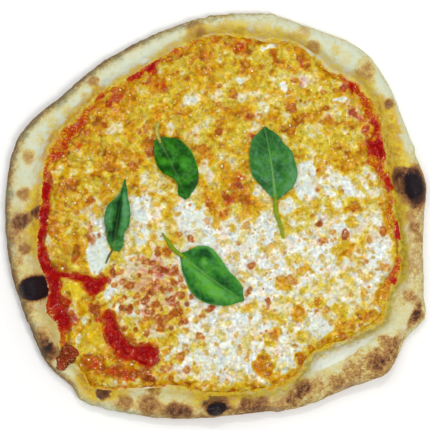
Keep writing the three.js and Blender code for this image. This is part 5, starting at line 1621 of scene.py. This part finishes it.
def leafSkin(name, leaf):
    recipe = Recipe(name)
    fine, small = recipe.noise(0.8, 2), recipe.noise(2.6, 2, offset=0.21)
    patch = recipe.noise(8, 2, offset=0.37)
    vein, tone, stalk = recipe.field("vein"), recipe.field("tone"), recipe.field("stalk")
    lobe, along = recipe.field("lobe"), recipe.field("alongLeaf")
    dark, green, bright = leaf["tints"]
    depth = 0.5 + tone * 0.36 + sway((patch, 0.8), (small, 0.5))
    colour = recipe.ramp(depth, (0.1, *dark), (0.45, *green), (0.9, *bright))
    sheen = (recipe.noise(5, 2, offset=0.67) + tone * 0.15 + (small - 0.5) * 0.4).over(0.5, 0.72)
    colour = recipe.mix(sheen * leaf["sheen"], colour, tint(*leaf["sheenTint"]))
    colour = recipe.mix((lobe * lobe).over(0.86, 1) * 0.4, colour, tint(*bright))
    colour = recipe.tinted(colour, (1 - along * 1.4 - lobe * lobe).over(0.72, 1.05) * 0.6, 94, 150, 24)
    colour = recipe.tinted(colour, vein * leaf["veined"], 122, 172, 88)
    streaks = (fine * 0.5 + small * 0.5).over(0.4, 0.6)
    stem = recipe.mix(streaks * 0.5, tint(*leaf["stemTint"]), tint(96, 110, 24))
    colour = recipe.mix(stalk.over(0.45, 0.62), colour, stem)
    skin = recipe.bumps((small, 0.3, 0.6), (fine, 0.1, 0.5))
    return recipe.finish(
        colour=colour, rough=0.36 + (small - 0.5) * 0.2, normal=skin, specular=0.1)


for node, leaf in basil["leaves"].items():
    blade, bladeFaces, bladeFields = bladeMesh(leaf)
    stem, stemFaces, stemFields = stemMesh(leaf)
    faces = bladeFaces.tolist() + [[k + len(blade) for k in face] for face in stemFaces]
    fields = {key: np.concatenate([bladeFields[key], stemFields[key]]) for key in bladeFields}
    name = "".join(word.title() for word in node.split("_")[1:])
    makePiece("basil" + name, np.vstack([blade, stem]), faces, node, fields,
              leafSkin("basilSkin" + name, leaf))


def strewTree(name, material):
    tree = bpy.data.node_groups.new(name, "GeometryNodeTree")
    for label, kind in (("Geometry", "NodeSocketGeometry"), ("Density", "NodeSocketFloat"),
                        ("Smallest", "NodeSocketFloat"), ("Largest", "NodeSocketFloat"),
                        ("Flatness", "NodeSocketFloat"), ("Seed", "NodeSocketInt")):
        tree.interface.new_socket(label, in_out="INPUT", socket_type=kind)
    tree.interface.new_socket("Geometry", in_out="OUTPUT", socket_type="NodeSocketGeometry")

    def add(kind, settings=None, **values):
        made = tree.nodes.new(kind)
        for key, value in (settings or {}).items():
            setattr(made, key, value)
        for key, value in values.items():
            socket = next(s for s in made.inputs if s.identifier == key)
            if isinstance(value, bpy.types.NodeSocket):
                tree.links.new(value, socket)
            else:
                socket.default_value = value
        return made

    given = add("NodeGroupInput").outputs
    cover = add("GeometryNodeInputNamedAttribute", {"data_type": "FLOAT"}, Name="strewn")
    amount = add("ShaderNodeMath", {"operation": "MULTIPLY"},
                 Value=given["Density"], Value_001=cover.outputs[0])
    spots = add("GeometryNodeDistributePointsOnFaces", {"distribute_method": "RANDOM"},
                Mesh=given["Geometry"], Density=amount.outputs[0], Seed=given["Seed"])
    bit = add("GeometryNodeMeshIcoSphere", Radius=1.0, Subdivisions=2)
    size = add("FunctionNodeRandomValue", {"data_type": "FLOAT"},
               Min_001=given["Smallest"], Max_001=given["Largest"], Seed=given["Seed"])
    longer = add("FunctionNodeRandomValue", {"data_type": "FLOAT"},
                 Min_001=0.7, Max_001=1.5, Seed=5)
    form = add("ShaderNodeCombineXYZ", X=longer.outputs[1], Y=1.0, Z=given["Flatness"])
    scale = add("ShaderNodeVectorMath", {"operation": "SCALE"},
                Vector=form.outputs[0], Scale=size.outputs[1])
    spin = add("FunctionNodeRandomValue", {"data_type": "FLOAT"},
               Min_001=0.0, Max_001=fullTurn, Seed=9)
    turn = add("ShaderNodeCombineXYZ", Z=spin.outputs[1])
    facing = add("FunctionNodeRotateRotation", {"rotation_space": "LOCAL"},
                 Rotation=spots.outputs["Rotation"], **{"Rotate By": turn.outputs[0]})
    placed = add("GeometryNodeInstanceOnPoints", Points=spots.outputs["Points"],
                 Instance=bit.outputs["Mesh"], Rotation=facing.outputs[0], Scale=scale.outputs[0])
    solid = add("GeometryNodeRealizeInstances", Geometry=placed.outputs[0])
    smooth = add("GeometryNodeSetShadeSmooth", Geometry=solid.outputs[0])
    done = add("GeometryNodeSetMaterial", Geometry=smooth.outputs[0], Material=material)
    tree.links.new(done.outputs[0], tree.nodes.new("NodeGroupOutput").inputs[0])
    return tree


def strew(name, ground, cover, material, sizes):
    # cover is where the bits lie, a number from 0 to 1 for each point of the ground piece
    bare = bpy.data.objects.new(name + "Ground", ground.data.copy())
    layer = bare.data.attributes.new("strewn", "FLOAT", "POINT")
    layer.data.foreach_set("value", np.asarray(cover, np.float32))
    scene.collection.objects.link(bare)
    tree = strewTree(name + "Tree", material)
    modifier = bare.modifiers.new("strew", "NODES")
    modifier.node_group = tree
    for item in tree.interface.items_tree:
        if item.in_out == "INPUT" and item.name in sizes:
            modifier[item.identifier] = sizes[item.name]
    bpy.context.view_layer.update()
    posed = bare.evaluated_get(bpy.context.evaluated_depsgraph_get())
    mesh = bpy.data.meshes.new_from_object(posed)
    mesh.name = name
    bare.modifiers.clear()
    bpy.data.objects.remove(bare)
    places = np.empty(3 * len(mesh.vertices), np.float32)
    mesh.vertices.foreach_get("co", places)
    mesh.vertices.foreach_set("co", (insideCad(places.reshape(-1, 3) / mm) * mm).ravel())
    piece = bpy.data.objects.new(name, mesh)
    scene.collection.objects.link(piece)
    if not mesh.materials:
        mesh.materials.append(material)
    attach(piece, "root")
    print(f"{name}: {len(mesh.polygons)} faces")


def specks(name, light, darkShade, cell, rough):
    recipe = Recipe(name)
    small, patch = recipe.noise(cell, 2), recipe.noise(cell * 5, 2, offset=0.27)
    colour = recipe.mix((small * 0.5 + patch * 0.5).over(0.42, 0.58), tint(*light), tint(*darkShade))
    return recipe.finish(
        colour=colour, rough=rough, normal=recipe.bumps((small, 0.15, 0.5)), specular=0.2)


cheeseX, cheeseY, cheeseZ = cheesePoints.T
onTop = cheeseZ > topping["cheeseBottom"] + 0.6
crumbly = np.clip(1.2 - creamAt(cheeseX, cheeseY), 0.1, 0.9) * (1 - calmAt(cheeseX, cheeseY))
strew(
    "cheeseCurds", cheesePiece, onTop * crumbly * (1 - halo),
    specks("curdFlecks", (224, 218, 186), (214, 186, 110), 2.5, 0.3),
    {"Density": 14000.0, "Smallest": 0.3 * mm, "Largest": 0.9 * mm, "Flatness": 0.35, "Seed": 4})

sauceX, sauceY, sauceZ = saucePoints.T
bare = (sauceZ > 3.8) * easeIn(-cheeseInside(sauceX, sauceY), 0.2, 1.5) * easeIn(deep, 0.55, 0.85)
strew(
    "tomatoPulp", saucePiece, bare,
    specks("pulpFlecks", (176, 26, 8), (148, 8, 8), 2, 0.25),
    {"Density": 60000.0, "Smallest": 0.3 * mm, "Largest": 0.8 * mm, "Flatness": 0.3, "Seed": 6})

crustZ = flatPoints[:, 2]
dusted = np.where(crustZ < 1, 0.8, 0.25 + 0.75 * easeIn(-toOutline, -8, 0))
dusted = np.append(dusted * (outward > 2) * (toast < 0.6), (0, 0))
strew(
    "semolina", crustPiece, dusted,
    specks("semolinaGrains", (222, 214, 176), (200, 180, 124), 1, 0.8),
    {"Density": 28000.0, "Smallest": 0.12 * mm, "Largest": 0.34 * mm, "Flatness": 0.8, "Seed": 8})
